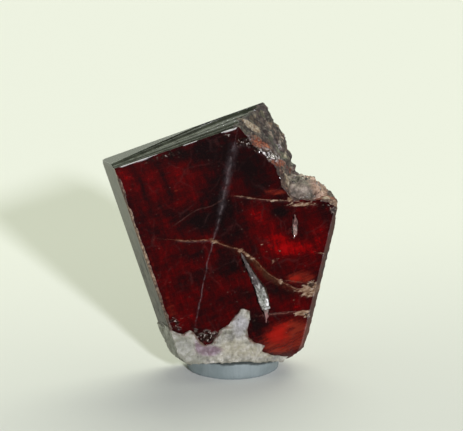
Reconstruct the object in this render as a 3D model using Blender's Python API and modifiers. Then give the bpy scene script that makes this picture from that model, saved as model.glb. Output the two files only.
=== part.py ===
"""A thumbnail tantalite crystal: a thick dark red tablet on a foot of white albite, with a crust of
matrix on its broken shoulder and two blades of mica let into its face, standing in a lump of putty.
Run with: blender --background --python part.py"""

import math

import bmesh
import bpy
from mathutils import Matrix, Vector, noise

MM = 0.001

# The tablet, in its own axes: x along its top edge, y from its front face to its back, z up its
# left edge. The zero is the top left corner of the front face.
TABLET_WIDTH = 20.8 * MM
TABLET_DEPTH = 6.4 * MM
TABLET_HEIGHT = 24.2 * MM
TOP = 0.22 * MM

# How the tablet stands: turned in its own plane, then leaning back, with its zero at this place.
ROLL = math.radians(-17.1)
LEAN = math.radians(-7.0)
TABLET_AT = Vector((-12.14, -0.54, 21.41)) * MM

# Faces that bound the tablet: a point on each and its outward direction.
TABLET_FACES = {
    "top": ((0.0, 0.0, TOP / MM), (0.009, 0.0, 1.0)),
    "upper right": ((19.4, 0.0, -12.3), (0.93, 0.10, -0.36)),
    "right": ((13.4, 0.0, -21.9), (0.84, 0.02, -0.54)),
    "lower right": ((12.05, 0.0, -23.45), (0.75, -0.05, -0.66)),
    "underside": ((9.9, 0.0, -23.95), (0.23, 0.0, -0.97)),
    "underside in the foot": ((9.0, 0.0, -23.4), (-0.36, 0.0, -0.93)),
    "lower left": ((0.0, 0.0, -19.9), (-0.87, 0.0, -0.49)),
    "right front bevel": ((18.85, 0.0, -12.0), (0.62, -0.66, -0.40)),
    "right back bevel": ((17.2, 6.4, -14.4), (0.60, 0.70, -0.38)),
    "top back left corner": ((0.6, 6.4, TOP / MM), (-0.55, 0.45, 0.70)),
    "top back edge": ((0.0, 6.4, -0.12), (0.0, 0.75, 0.66)),
    "shoulder corner": ((19.9, 0.0, -10.7), (0.78, -0.50, 0.38)),
}

# Growth steps along the top front edge: how far back each reaches, and its drop below the top face
# at the left end and at the right.
TOP_STEPS = ((1.7, 0.06, 0.30), (1.1, 0.13, 0.52), (0.5, 0.22, 0.73))
STEP_RUN = 15.0 * MM

# Growth terraces on the back face: where each starts, how far it turns, and its depth.
BACK_STEPS = (((6.0, -8.5), 24.0, 0.28), ((11.5, -12.0), 31.0, 0.42))

# The broken upper right corner: a steep face above a steeper one, and the shelf under both. Each has
# a point on it and its direction out of the tablet.
BREAK_UPPER = ((13.34, 0.0, -1.4), (0.90, -0.71, 0.41))
BREAK_LOWER = ((15.13, 0.0, -5.16), (0.98, -0.50, 0.17))
BREAK_SHELF = ((15.5, 0.0, -8.8), (0.32, -0.21, 0.94))
BREAK_BLOCK = (Vector((10.0, -3.0, -14.0)) * MM, Vector((26.0, 10.0, 4.0)) * MM)
BREAK_GRAIN = 0.52 * MM
BREAK_ROUGHNESS = 0.42 * MM
BREAK_LUMPS = 2.4 * MM

# The albite foot: outlines in x and z of its front half and its back half, and their span in y.
FOOT_FRONT = (
    (0.00, -16.5), (0.40, -17.3), (0.97, -17.7), (1.80, -17.6), (2.18, -18.2), (2.25, -18.9),
    (2.76, -19.5), (3.50, -19.6), (4.05, -19.1), (4.50, -18.75), (5.50, -18.4), (6.45, -17.9),
    (7.36, -17.4), (8.15, -17.9), (7.60, -18.9), (6.90, -20.1), (7.26, -20.85), (8.35, -21.7),
    (7.75, -22.1), (8.50, -22.7), (10.2, -23.6), (9.50, -23.9), (7.44, -23.1), (5.40, -22.2),
    (2.74, -21.4), (0.80, -20.8), (0.10, -19.8),
)
FOOT_BACK = (
    (0.05, -17.6), (1.60, -16.9), (2.90, -17.7), (4.30, -16.2), (5.60, -15.6), (6.70, -16.9),
    (8.10, -17.6), (8.60, -19.4), (9.90, -20.6), (10.9, -22.4), (9.60, -23.6), (7.30, -22.9),
    (5.20, -22.2), (2.90, -21.5), (1.10, -20.9), (0.20, -19.9),
)
FOOT_FRONT_SPAN = (-0.14 * MM, 3.5 * MM)
FOOT_BACK_SPAN = (3.1 * MM, 6.85 * MM)
FOOT_GRAIN = 0.40 * MM
FOOT_ROUGHNESS = 0.20 * MM
FOOT_LUMPS = 1.9 * MM
FOOT_SHARE = 0.32

# The crust of matrix that lies in the corner of the break.
CRUST_CENTRE = Vector((17.40, 2.8, -9.00)) * MM
CRUST_HALF_SIZE = Vector((2.45, 2.50, 1.30)) * MM
CRUST_TILT = math.radians(28.0)
CRUST_GRAIN = 0.42 * MM
CRUST_ROUGHNESS = 0.30 * MM
CRUST_LUMPS = 1.5 * MM
CRUST_SHARE = 0.55

# Mica blades in the front face: the ends of each, its widest width, its bow to the right and its depth.
BLADES = {
    "mica_blade_long": ((9.10, -11.5), (9.80, -18.75), 1.10, 0.28, 0.85),
    "mica_blade_short": ((15.30, -10.45), (14.55, -12.45), 0.62, 0.0, 0.55),
}
BLADE_POINTS = 9
BLADE_FULLNESS = 1.5
BLADE_PROUD = 0.10 * MM

# The putty: a ball of soft grey putty pressed flat under the foot.
PUTTY_HALF_SIZE = Vector((4.65, 4.65, 1.50)) * MM
PUTTY_MIDDLE = Vector((0.0, 1.50, 0.85)) * MM
PUTTY_SQUARENESS = 0.55
PUTTY_RINGS = 14
PUTTY_SEGMENTS = 40
PUTTY_DENTS = 0.034
PUTTY_DENT_COUNT = 1.8
PUTTY_DENTS_FROM = Vector((3.0, 8.0, 1.0))
SMOOTH_UNDER = math.radians(40.0)

GAP = 0.3 * MM  # clearance between pieces that touch
SEAT_GRAIN = 0.36 * MM
SEAT_SHARE = 0.4

REACH = 40.0 * MM  # how far a cutter runs past the stone

# Broken surfaces: how much finer and how much lower than the lumps their ridges and their grain are.
RIDGES = (2.3, 0.8)
GRAIN = (4.9, 0.35)


def clear_scene():
    for obj in list(bpy.data.objects):
        bpy.data.objects.remove(obj, do_unlink=True)


def collection(name):
    made = bpy.data.collections.new(name)
    bpy.context.scene.collection.children.link(made)
    return made


def material(name, color, roughness, metallic=0.0):
    made = bpy.data.materials.new(name)
    made.use_nodes = True
    shader = made.node_tree.nodes["Principled BSDF"]
    shader.inputs["Base Color"].default_value = (*color, 1.0)
    shader.inputs["Roughness"].default_value = roughness
    shader.inputs["Metallic"].default_value = metallic
    return made


def place(name, mesh, where, parent=None, finish=None):
    obj = bpy.data.objects.new(name, mesh)
    where.objects.link(obj)
    obj.parent = parent
    if finish:
        mesh.materials.append(finish)
    return obj


def as_cutter(obj):
    obj.hide_render = True
    obj.display_type = "WIRE"
    return obj


def to_mesh(bm, name):
    mesh = bpy.data.meshes.new(name)
    bm.to_mesh(mesh)
    bm.free()
    return mesh


def block(low, high):
    """A box from its lowest to its highest corner."""
    low, high = Vector(low), Vector(high)
    bm = bmesh.new()
    bmesh.ops.create_cube(
        bm, size=1.0, matrix=Matrix.Translation((low + high) / 2) @ Matrix.Diagonal((*(high - low), 1.0))
    )
    return bm


def trim(bm, point, outward):
    """Cuts off what lies outward of a plane, and closes the cut."""
    cut = bmesh.ops.bisect_plane(
        bm,
        geom=bm.verts[:] + bm.edges[:] + bm.faces[:],
        dist=1e-9,
        plane_co=Vector(point),
        plane_no=Vector(outward).normalized(),
        clear_outer=True,
    )["geom_cut"]
    edges = [e for e in cut if isinstance(e, bmesh.types.BMEdge)]
    if edges:
        bmesh.ops.contextual_create(bm, geom=edges)
    bmesh.ops.recalc_face_normals(bm, faces=bm.faces[:])


def outline_mesh(name, outline, span, where):
    """A flat outline in x and z, in millimetres, given its thickness along y."""
    curve = bpy.data.curves.new(name, "CURVE")
    curve.dimensions = "2D"
    curve.fill_mode = "BOTH"
    curve.extrude = (span[1] - span[0]) / 2
    spline = curve.splines.new("POLY")
    spline.points.add(len(outline) - 1)
    for point, (x, z) in zip(spline.points, outline):
        point.co = (x * MM, z * MM, 0.0, 1.0)
    spline.use_cyclic_u = True
    drawn = place(name + "_outline", curve, where)
    drawn.rotation_euler = (math.pi / 2, 0.0, 0.0)
    drawn.location = (0.0, (span[0] + span[1]) / 2, 0.0)
    bpy.context.view_layer.update()
    mesh = bpy.data.meshes.new_from_object(drawn.evaluated_get(bpy.context.evaluated_depsgraph_get()))
    bm = bmesh.new()
    bm.from_mesh(mesh)
    bmesh.ops.remove_doubles(bm, verts=bm.verts[:], dist=1e-7)
    bmesh.ops.recalc_face_normals(bm, faces=bm.faces[:])
    bm.transform(drawn.matrix_world)
    bpy.data.objects.remove(drawn)
    return to_mesh(bm, name)


def modifier(obj, kind, **settings):
    made = obj.modifiers.new(kind.title(), kind)
    for name, value in settings.items():
        setattr(made, name, value)
    return made


def join(obj, other):
    modifier(obj, "BOOLEAN", operation="UNION", object=as_cutter(other))


def cut_away(obj, other):
    modifier(obj, "BOOLEAN", operation="DIFFERENCE", object=as_cutter(other))


def freeze(obj):
    """Turns an object's modifiers into plain mesh."""
    bpy.context.view_layer.update()
    finish = [m for m in obj.data.materials]
    mesh = bpy.data.meshes.new_from_object(obj.evaluated_get(bpy.context.evaluated_depsgraph_get()))
    obj.modifiers.clear()
    obj.data = mesh
    mesh.materials.clear()
    for m in finish:
        mesh.materials.append(m)


def even_out(obj, size):
    """Gives a solid an even mesh of this grain."""
    modifier(obj, "REMESH", mode="VOXEL", voxel_size=size, adaptivity=0.0)
    freeze(obj)


def thin_out(obj, share):
    """Keeps this share of a solid's faces."""
    modifier(obj, "DECIMATE", ratio=share)
    freeze(obj)


def roughen(obj, amount, size, seed):
    """Moves a mesh's points in and out, in broad lumps with sharper ridges on them."""
    offset = Vector((seed * 7.3, seed * 3.1, seed * 5.7))
    mesh = obj.data
    normals = [v.normal.copy() for v in mesh.vertices]
    for v, normal in zip(mesh.vertices, normals):
        at = v.co / size + offset
        lump = noise.noise(at)
        ridge = 0.5 - abs(noise.noise(at * RIDGES[0]))
        grain = noise.noise(at * GRAIN[0])
        v.co += normal * amount * (lump + RIDGES[1] * ridge + GRAIN[1] * grain)


def drop_crumbs(obj):
    """Freezes a cut solid and keeps only its largest body."""
    freeze(obj)
    bm = bmesh.new()
    bm.from_mesh(obj.data)
    bodies = []
    unseen = set(bm.verts)
    while unseen:
        body = {unseen.pop()}
        edge_of_body = set(body)
        while edge_of_body:
            near = {e.other_vert(v) for v in edge_of_body for e in v.link_edges}
            edge_of_body = near - body
            body |= edge_of_body
        unseen -= body
        bodies.append(body)
    crumbs = [v for body in sorted(bodies, key=len)[:-1] for v in body]
    bmesh.ops.delete(bm, geom=crumbs, context="VERTS")
    bm.to_mesh(obj.data)
    bm.free()


def grown(obj, name, where):
    """A copy of a solid, larger all round by the gap, to cut its seat in a neighbour."""
    mesh = obj.data.copy()
    copy = place(name, mesh, where, obj.parent)
    normals = [v.normal.copy() for v in mesh.vertices]
    for v, normal in zip(mesh.vertices, normals):
        v.co += normal * GAP
    even_out(copy, SEAT_GRAIN)
    thin_out(copy, SEAT_SHARE)
    return as_cutter(copy)


def tablet_block(grow=0.0):
    """The tablet bounded by its flat faces, with each face moved out by this much."""
    out = Vector((grow, grow, grow))
    bm = block(-out - Vector((0.0, 0.0, TABLET_HEIGHT)), out + Vector((TABLET_WIDTH, TABLET_DEPTH, TOP)))
    for point, outward in TABLET_FACES.values():
        trim(bm, Vector(point) * MM + Vector(outward).normalized() * grow, outward)
    return to_mesh(bm, "tablet_block")


def tablet(where, cutters, parent, finish):
    """The tablet with its growth steps and its back terraces, before anything breaks it."""
    obj = place("tantalite_crystal", tablet_block(), where, parent, finish)
    for i, (reach, left, right) in enumerate(TOP_STEPS):
        step = block((-REACH, -REACH, 0.0), (REACH, reach * MM, REACH))
        turn = math.atan2((right - left) * MM, STEP_RUN)
        turned = Matrix.Translation((0.0, 0.0, TOP - left * MM)) @ Matrix.Rotation(turn, 4, "Y")
        step.transform(turned)
        cut_away(obj, place(f"top_step_{i}", to_mesh(step, "step"), cutters, parent))
    for i, ((x, z), turn, depth) in enumerate(BACK_STEPS):
        step = block((0.0, TABLET_DEPTH - depth * MM, -REACH), (REACH, REACH, REACH))
        step.transform(
            Matrix.Translation((x * MM, 0.0, z * MM)) @ Matrix.Rotation(math.radians(turn), 4, "Y")
        )
        cut_away(obj, place(f"back_step_{i}", to_mesh(step, "step"), cutters, parent))
    return obj


def break_cutter(cutters, parent):
    """The rough corner that broke off: two blocks joined, each between a steep face and the shelf."""
    corners = []
    for steep in (BREAK_UPPER, BREAK_LOWER):
        bm = block(*BREAK_BLOCK)
        for point, outward in (steep, BREAK_SHELF):
            trim(bm, Vector(point) * MM, -Vector(outward))
        corners.append(place("broken_corner", to_mesh(bm, "broken_corner"), cutters, parent))
    obj, other = corners
    join(obj, other)
    freeze(obj)
    even_out(obj, BREAK_GRAIN)
    roughen(obj, BREAK_ROUGHNESS, BREAK_LUMPS, 1)
    return as_cutter(obj)


def albite_foot(where, cutters, parent, finish):
    """The foot: two thick outlines, front and back, joined and roughened."""
    front = outline_mesh("foot_front", FOOT_FRONT, FOOT_FRONT_SPAN, cutters)
    back = outline_mesh("foot_back", FOOT_BACK, FOOT_BACK_SPAN, cutters)
    obj = place("albite_foot", front, where, parent, finish)
    join(obj, place("foot_back", back, cutters, parent))
    freeze(obj)
    even_out(obj, FOOT_GRAIN)
    roughen(obj, FOOT_ROUGHNESS, FOOT_LUMPS, 4)
    thin_out(obj, FOOT_SHARE)
    return obj


def shoulder_crust(where, parent, finish):
    """A low lump, blocky and rough, lying along the shelf of the break."""
    bm = bmesh.new()
    bmesh.ops.create_icosphere(bm, subdivisions=3, radius=1.0)
    size = Matrix.Diagonal((*CRUST_HALF_SIZE, 1.0))
    bm.transform(Matrix.Translation(CRUST_CENTRE) @ Matrix.Rotation(CRUST_TILT, 4, "Y") @ size)
    obj = place("shoulder_crust", to_mesh(bm, "shoulder_crust"), where, parent, finish)
    even_out(obj, CRUST_GRAIN)
    roughen(obj, CRUST_ROUGHNESS, CRUST_LUMPS, 9)
    thin_out(obj, CRUST_SHARE)
    return obj


def blade_outline(start, end, width, bow, grow):
    """A lens between two ends, fuller towards the lower one, in millimetres."""
    start, end = Vector(start), Vector(end)
    along = (end - start).normalized()
    across = Vector((-along.y, along.x))
    start, end = start - along * grow, end + along * grow
    sides = ([], [])
    for i in range(1, BLADE_POINTS):
        t = i / BLADE_POINTS
        half = (width / 2) * math.sin(math.pi * t**BLADE_FULLNESS) + grow
        middle = start.lerp(end, t) + across * bow * math.sin(math.pi * t)
        sides[0].append(middle + across * half)
        sides[1].append(middle - across * half)
    return [tuple(start), *map(tuple, sides[0]), tuple(end), *map(tuple, reversed(sides[1]))]


def mica_blade(name, shape, where, cutters, parent, finish, host):
    """A blade let into the front face, in a pocket a little larger than itself."""
    *lens, depth = shape
    body = outline_mesh(name, blade_outline(*lens, 0.0), (-BLADE_PROUD, depth * MM), cutters)
    blade = place(name, body, where, parent, finish)
    pocket = outline_mesh(name, blade_outline(*lens, GAP / MM), (-REACH, depth * MM + GAP), cutters)
    cut_away(host, place(name + "_pocket", pocket, cutters, parent))
    return blade


def putty_mount(where, finish):
    """The putty: a squashed ball with soft dents, flat where it sits."""
    bm = bmesh.new()
    bmesh.ops.create_uvsphere(bm, u_segments=PUTTY_SEGMENTS, v_segments=PUTTY_RINGS, radius=1.0)
    for v in bm.verts:
        ring = max(math.hypot(v.co.x, v.co.y), 1e-6)
        v.co.xy *= ring ** (PUTTY_SQUARENESS - 1.0)
        v.co.z = math.copysign(abs(v.co.z) ** PUTTY_SQUARENESS, v.co.z)
        v.co *= 1.0 + PUTTY_DENTS * noise.noise(v.co * PUTTY_DENT_COUNT + PUTTY_DENTS_FROM)
    bm.transform(Matrix.Translation(PUTTY_MIDDLE) @ Matrix.Diagonal((*PUTTY_HALF_SIZE, 1.0)))
    trim(bm, (0.0, 0.0, 0.0), (0.0, 0.0, -1.0))
    mesh = to_mesh(bm, "putty_mount")
    mesh.shade_smooth()
    mesh.set_sharp_from_angle(angle=SMOOTH_UNDER)
    return place("putty_mount", mesh, where, None, finish)


def stand_on_origin(nodes, roots):
    """Moves everything so that the lowest face is at z 0 and the box's middle is over the origin."""
    bpy.context.view_layer.update()
    graph = bpy.context.evaluated_depsgraph_get()
    points = []
    for obj in nodes:
        evaluated = obj.evaluated_get(graph)
        points += [evaluated.matrix_world @ v.co for v in evaluated.to_mesh().vertices]
        evaluated.to_mesh_clear()
    low = Vector(map(min, *points))
    high = Vector(map(max, *points))
    for root in roots:
        root.location -= Vector(((low.x + high.x) / 2, (low.y + high.y) / 2, low.z))


def main():
    clear_scene()
    parts = collection("tantalite_specimen")
    cutters = collection("cutters")
    red = material("tantalite", (0.09, 0.008, 0.010), 0.12)
    white = material("albite", (0.62, 0.60, 0.55), 0.6)
    grey_brown = material("matrix_crust", (0.24, 0.20, 0.16), 0.7)
    silver = material("mica", (0.55, 0.56, 0.54), 0.35)
    putty_grey = material("putty", (0.30, 0.35, 0.37), 0.75)

    axes = bpy.data.objects.new("tablet_axes", None)
    parts.objects.link(axes)
    axes.rotation_mode = "YXZ"
    axes.rotation_euler = (LEAN, ROLL, 0.0)
    axes.location = TABLET_AT

    crystal = tablet(parts, cutters, axes, red)
    cut_away(crystal, break_cutter(cutters, axes))
    foot = albite_foot(parts, cutters, axes, white)
    cut_away(crystal, grown(foot, "foot_seat", cutters))
    crust = shoulder_crust(parts, axes, grey_brown)
    cut_away(crystal, grown(crust, "crust_seat", cutters))
    blades = [
        mica_blade(name, shape, parts, cutters, axes, silver, crystal) for name, shape in BLADES.items()
    ]
    drop_crumbs(crystal)

    putty = putty_mount(parts, putty_grey)
    cut_away(putty, place("tablet_print", tablet_block(GAP), cutters, axes))
    cut_away(putty, grown(foot, "foot_print", cutters))
    drop_crumbs(putty)
    stand_on_origin([crystal, foot, crust, putty, *blades], [axes, putty])


main()
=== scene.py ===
import math

import bmesh
import bpy
import numpy as np
from mathutils import Euler, Matrix, Vector, noise
from mathutils.bvhtree import BVHTree


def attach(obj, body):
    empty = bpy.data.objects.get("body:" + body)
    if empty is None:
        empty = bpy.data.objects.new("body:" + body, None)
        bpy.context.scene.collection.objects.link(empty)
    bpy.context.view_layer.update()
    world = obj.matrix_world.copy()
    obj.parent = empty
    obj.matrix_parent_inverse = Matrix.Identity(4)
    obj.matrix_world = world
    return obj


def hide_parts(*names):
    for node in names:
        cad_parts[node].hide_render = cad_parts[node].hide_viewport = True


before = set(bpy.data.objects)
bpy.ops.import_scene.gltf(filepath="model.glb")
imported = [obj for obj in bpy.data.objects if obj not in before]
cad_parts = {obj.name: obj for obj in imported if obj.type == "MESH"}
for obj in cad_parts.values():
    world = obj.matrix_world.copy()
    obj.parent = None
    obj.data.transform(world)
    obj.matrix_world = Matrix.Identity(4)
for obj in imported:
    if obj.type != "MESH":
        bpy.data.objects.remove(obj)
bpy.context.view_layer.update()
scene = bpy.context.scene
mm = 0.001

# The crystal is drawn in its own axes, in millimetres: x along its top edge, y from its front face
# to its back, z up its left edge, zero at the top left corner of the front face.
stance = {
    "zero": (-11.098, -2.027, 21.41),  # that corner in the frame, in millimetres
    "roll": -17.1,  # degrees, in the plane of the front face
    "lean": -7.0,  # degrees, backwards
}
tabletTurn = Euler((math.radians(stance["lean"]), math.radians(stance["roll"]), 0.0), "YXZ").to_matrix()
tabletAxes = (
    Matrix.Translation(Vector(stance["zero"]) * mm) @ tabletTurn.to_4x4() @ Matrix.Scale(mm, 4)
)


# Small helpers for meshes.

def newObject(name, mesh):
    made = bpy.data.objects.new(name, mesh)
    scene.collection.objects.link(made)
    return made


def meshFrom(bm, name):
    mesh = bpy.data.meshes.new(name)
    bmesh.ops.recalc_face_normals(bm, faces=bm.faces[:])
    bm.to_mesh(mesh)
    bm.free()
    return mesh


def block(low, high):
    low, high = Vector(low), Vector(high)
    bm = bmesh.new()
    shape = Matrix.Translation((low + high) / 2) @ Matrix.Diagonal((*(high - low), 1.0))
    bmesh.ops.create_cube(bm, size=1.0, matrix=shape)
    return bm


def trim(bm, point, outward):
    # cuts off what lies outward of a plane, and closes the cut
    cut = bmesh.ops.bisect_plane(
        bm, geom=bm.verts[:] + bm.edges[:] + bm.faces[:], dist=1e-6,
        plane_co=Vector(point), plane_no=Vector(outward).normalized(), clear_outer=True,
    )["geom_cut"]
    edges = [e for e in cut if isinstance(e, bmesh.types.BMEdge)]
    if edges:
        bmesh.ops.contextual_create(bm, geom=edges)


def outlineSolid(name, outline, front, back):
    # an outline in x and z, thick from front to back
    bm = bmesh.new()
    face = bm.faces.new([bm.verts.new((x, front, z)) for x, z in outline])
    made = bmesh.ops.extrude_face_region(bm, geom=[face])["geom"]
    bmesh.ops.translate(
        bm, vec=(0.0, back - front, 0.0), verts=[v for v in made if isinstance(v, bmesh.types.BMVert)]
    )
    return newObject(name, meshFrom(bm, name))


def modify(obj, kind, **settings):
    made = obj.modifiers.new(kind.title(), kind)
    for name, value in settings.items():
        setattr(made, name, value)
    return made


def freeze(obj):
    # turns modifiers into plain mesh
    bpy.context.view_layer.update()
    mesh = bpy.data.meshes.new_from_object(obj.evaluated_get(bpy.context.evaluated_depsgraph_get()))
    obj.modifiers.clear()
    obj.data = mesh
    return obj


def combine(obj, other, operation):
    modify(obj, "BOOLEAN", operation=operation, object=other)
    freeze(obj)
    bpy.data.objects.remove(other)
    return obj


def evenOut(obj, size):
    modify(obj, "REMESH", mode="VOXEL", voxel_size=size, adaptivity=0.0)
    return freeze(obj)


def pointsOf(obj):
    points = np.empty(len(obj.data.vertices) * 3)
    obj.data.vertices.foreach_get("co", points)
    return points.reshape(-1, 3)


def normalsOf(obj):
    normals = np.empty(len(obj.data.vertices) * 3)
    obj.data.vertex_normals.foreach_get("vector", normals)
    return normals.reshape(-1, 3)


def setPoints(obj, points):
    obj.data.vertices.foreach_set("co", np.asarray(points, float).ravel())
    obj.data.update()


def noiseAt(points, size, seed=0.0):
    offset = np.array((seed * 7.3, seed * 3.1, seed * 5.7))
    return np.array([noise.noise(p) for p in (points / size + offset).tolist()])


def facetsAt(points, size, seed=0.0):
    # flat-sided cells: 0 in the middle of a cell, 1 where two meet
    offset = np.array((seed * 7.3, seed * 3.1, seed * 5.7))
    found = [noise.voronoi(p)[0] for p in (points / size + offset).tolist()]
    return np.array([d[0] - 0.5 * d[1] for d in found])


def between(values, low, high):
    # 0 at low, 1 at high, smooth in between
    t = np.clip((values - low) / (high - low), 0.0, 1.0)
    return t * t * (3.0 - 2.0 * t)


def roughen(obj, amount, size, seed):
    # broad lumps with sharper ridges on them
    points, normals = pointsOf(obj), normalsOf(obj)
    at = points / size
    offset = np.array((seed * 7.3, seed * 3.1, seed * 5.7))
    lump = noiseAt(at + offset, 1.0)
    ridge = 0.5 - np.abs(noiseAt((at + offset) * 2.3, 1.0))
    grain = noiseAt((at + offset) * 4.9, 1.0)
    setPoints(obj, points + normals * (amount * (lump + 0.8 * ridge + 0.35 * grain))[:, None])


def keepLargest(obj):
    bm = bmesh.new()
    bm.from_mesh(obj.data)
    unseen, bodies = set(bm.verts), []
    while unseen:
        start = unseen.pop()
        body, queue = {start}, [start]
        while queue:
            for e in queue.pop().link_edges:
                for v in e.verts:
                    if v not in body:
                        body.add(v)
                        queue.append(v)
        unseen -= body
        bodies.append(body)
    bodies.sort(key=len)
    bmesh.ops.delete(bm, geom=[v for body in bodies[:-1] for v in body], context="VERTS")
    bm.to_mesh(obj.data)
    bm.free()


def mend(obj, size, rounds=6):
    # takes out the slivers and flaps that cutting leaves, so that every edge has two faces again
    bm = bmesh.new()
    bm.from_mesh(obj.data)
    bmesh.ops.triangulate(bm, faces=bm.faces[:])
    for _ in range(rounds):
        bmesh.ops.dissolve_degenerate(bm, dist=size, edges=bm.edges[:])
        bmesh.ops.remove_doubles(bm, verts=bm.verts[:], dist=size)
        bmesh.ops.triangulate(bm, faces=bm.faces[:])
        folded = {}
        for face in bm.faces:
            folded.setdefault(frozenset(face.verts), []).append(face)
        pairs = [face for faces in folded.values() if len(faces) > 1 for face in faces]
        bmesh.ops.delete(bm, geom=pairs, context="FACES")
        counts = {face: [len(e.link_faces) for e in face.edges] for face in bm.faces}
        flaps = [face for face, used in counts.items() if max(used) > 2 and min(used) == 1]
        bmesh.ops.delete(bm, geom=flaps, context="FACES")
        bmesh.ops.delete(bm, geom=[v for v in bm.verts if not v.link_faces], context="VERTS")
    odd = sum(len(e.link_faces) != 2 for e in bm.edges)
    print(f"{obj.name}: {odd} odd edges after mending")
    bm.to_mesh(obj.data)
    bm.free()


def paint(obj, name, values):
    layer = obj.data.attributes.new(name, "FLOAT", "POINT")
    layer.data.foreach_set("value", np.asarray(values, np.float32))


def fromLine(points, line):
    # signed distance from a broken line in x and z: positive to the right of its run
    flat = points[:, [0, 2]]
    best = np.full(len(flat), 1e9)
    side = np.ones(len(flat))
    for start, end in zip(line, line[1:]):
        a, b = np.array(start), np.array(end)
        along = b - a
        t = np.clip((flat - a) @ along / (along @ along), 0.0, 1.0)
        away = flat - (a + t[:, None] * along)
        distance = np.hypot(away[:, 0], away[:, 1])
        cross = along[0] * (flat[:, 1] - a[1]) - along[1] * (flat[:, 0] - a[0])
        closer = distance < best
        best[closer] = distance[closer]
        side[closer] = np.where(cross[closer] > 0, -1.0, 1.0)
    return best * side


def spots(points, marks):
    # soft round or long marks in x and z: place, half sizes, turn in degrees, strength
    total = np.zeros(len(points))
    for x, z, wide, tall, turn, strength in marks:
        c, s = math.cos(math.radians(turn)), math.sin(math.radians(turn))
        dx, dz = points[:, 0] - x, points[:, 2] - z
        u, w = (c * dx + s * dz) / wide, (c * dz - s * dx) / tall
        total += strength * np.exp(-(u * u + w * w))
    return total


def finishPiece(obj, finish, nodes, inTablet=True, smoothUnder=32.0):
    if inTablet:
        obj.data.transform(tabletAxes)
    obj.data.materials.clear()
    obj.data.materials.append(finish)
    obj.data.shade_smooth()
    obj.data.set_sharp_from_angle(angle=math.radians(smoothUnder))
    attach(obj, "root")
    if nodes:
        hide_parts(*nodes)
    obj.data.calc_loop_triangles()
    print(f"{obj.name}: {len(obj.data.loop_triangles)} triangles")
    return obj


# Small helpers for materials.

class Finish:
    # a material with its node tree, and short ways to add to it
    def __init__(self, name):
        self.material = bpy.data.materials.new(name)
        self.material.use_nodes = True
        self.tree = self.material.node_tree
        self.shader = self.tree.nodes["Principled BSDF"]

    def add(self, kind, **settings):
        made = self.tree.nodes.new(kind)
        for name, value in settings.items():
            setattr(made, name, value)
        return made

    def plug(self, socket, value):
        if isinstance(value, bpy.types.NodeSocket):
            self.tree.links.new(value, socket)
        elif value is not None:
            socket.default_value = value

    def sum(self, operation, a, b=None, c=None, clamp=False):
        made = self.add("ShaderNodeMath", operation=operation, use_clamp=clamp)
        for socket, value in zip(made.inputs, (a, b, c)):
            self.plug(socket, value)
        return made.outputs[0]

    def tablet(self):
        # object coordinates turned into the crystal's axes, in millimetres
        turned = self.add("ShaderNodeMapping", vector_type="TEXTURE")
        turned.inputs["Location"].default_value = tabletAxes.translation
        turned.inputs["Rotation"].default_value = tabletTurn.to_euler("XYZ")
        turned.inputs["Scale"].default_value = (mm, mm, mm)
        self.tree.links.new(self.add("ShaderNodeTexCoord").outputs["Object"], turned.inputs["Vector"])
        return turned.outputs[0]

    def stretch(self, vector, scale, turn=(0.0, 0.0, 0.0)):
        made = self.add("ShaderNodeMapping")
        self.plug(made.inputs["Vector"], vector)
        made.inputs["Rotation"].default_value = [math.radians(a) for a in turn]
        made.inputs["Scale"].default_value = scale
        return made.outputs[0]

    def noise(self, vector, scale, detail=4.0, rough=0.55, warp=0.0):
        made = self.add("ShaderNodeTexNoise")
        for name, value in (
            ("Vector", vector), ("Scale", scale), ("Detail", detail), ("Roughness", rough),
            ("Distortion", warp),
        ):
            self.plug(made.inputs[name], value)
        return made.outputs["Fac"]

    def cells(self, vector, scale, feature="F1"):
        made = self.add("ShaderNodeTexVoronoi", feature=feature)
        self.plug(made.inputs["Vector"], vector)
        self.plug(made.inputs["Scale"], scale)
        return made.outputs

    def fade(self, value, low, high, to=(0.0, 1.0)):
        made = self.add("ShaderNodeMapRange", interpolation_type="SMOOTHSTEP")
        for name, number in (
            ("Value", value), ("From Min", low), ("From Max", high), ("To Min", to[0]), ("To Max", to[1])
        ):
            self.plug(made.inputs[name], number)
        return made.outputs[0]

    def ramp(self, value, stops):
        made = self.add("ShaderNodeValToRGB")
        self.plug(made.inputs[0], value)
        points = made.color_ramp.elements
        while len(points) < len(stops):
            points.new(0.5)
        for point, (place, color) in zip(points, stops):
            point.position = place
            point.color = (*color, 1.0)
        return made.outputs[0]

    def mix(self, share, under, over, blend="MIX"):
        made = self.add("ShaderNodeMix", data_type="RGBA", blend_type=blend, clamp_factor=True)
        self.plug(made.inputs[0], share)
        for socket, color in ((made.inputs[6], under), (made.inputs[7], over)):
            self.plug(socket, (*color, 1.0) if isinstance(color, tuple) else color)
        return made.outputs[2]

    def painted(self, name):
        return self.add("ShaderNodeAttribute", attribute_name=name).outputs["Fac"]

    def bump(self, height, distance, strength=1.0):
        made = self.add("ShaderNodeBump")
        self.plug(made.inputs["Height"], height)
        made.inputs["Distance"].default_value = distance
        made.inputs["Strength"].default_value = strength
        return made.outputs[0]

    def set(self, **values):
        for name, value in values.items():
            self.plug(self.shader.inputs[name.replace("_", " ")], value)


# Camera, light and floor.

studio = {
    "cameraAt": (-0.043775, -0.179377, 0.061662),
    "azimuth": -14.0,
    "elevation": 14.0,
    "lens": 150.0,
    "floorRadius": 0.355,
    "floorMiddle": (0.0, 0.325, 0.0),
    "floorFalloffColors": ((0.68, 0.695, 0.68), (0.83, 0.85, 0.80)),  # near and far; the near one is darker, as painted shade
    "keyAzimuth": 3.5,
    "keyElevation": 17.0,
    "keySpread": 4.0,
    "keyStrength": 3.1,
    "backAzimuth": 153.0,
    "backElevation": 47.0,
    "backSpread": 50.0,
    "backStrength": 1.8,
    "roomColor": (0.41, 0.434, 0.367),
}


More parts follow.
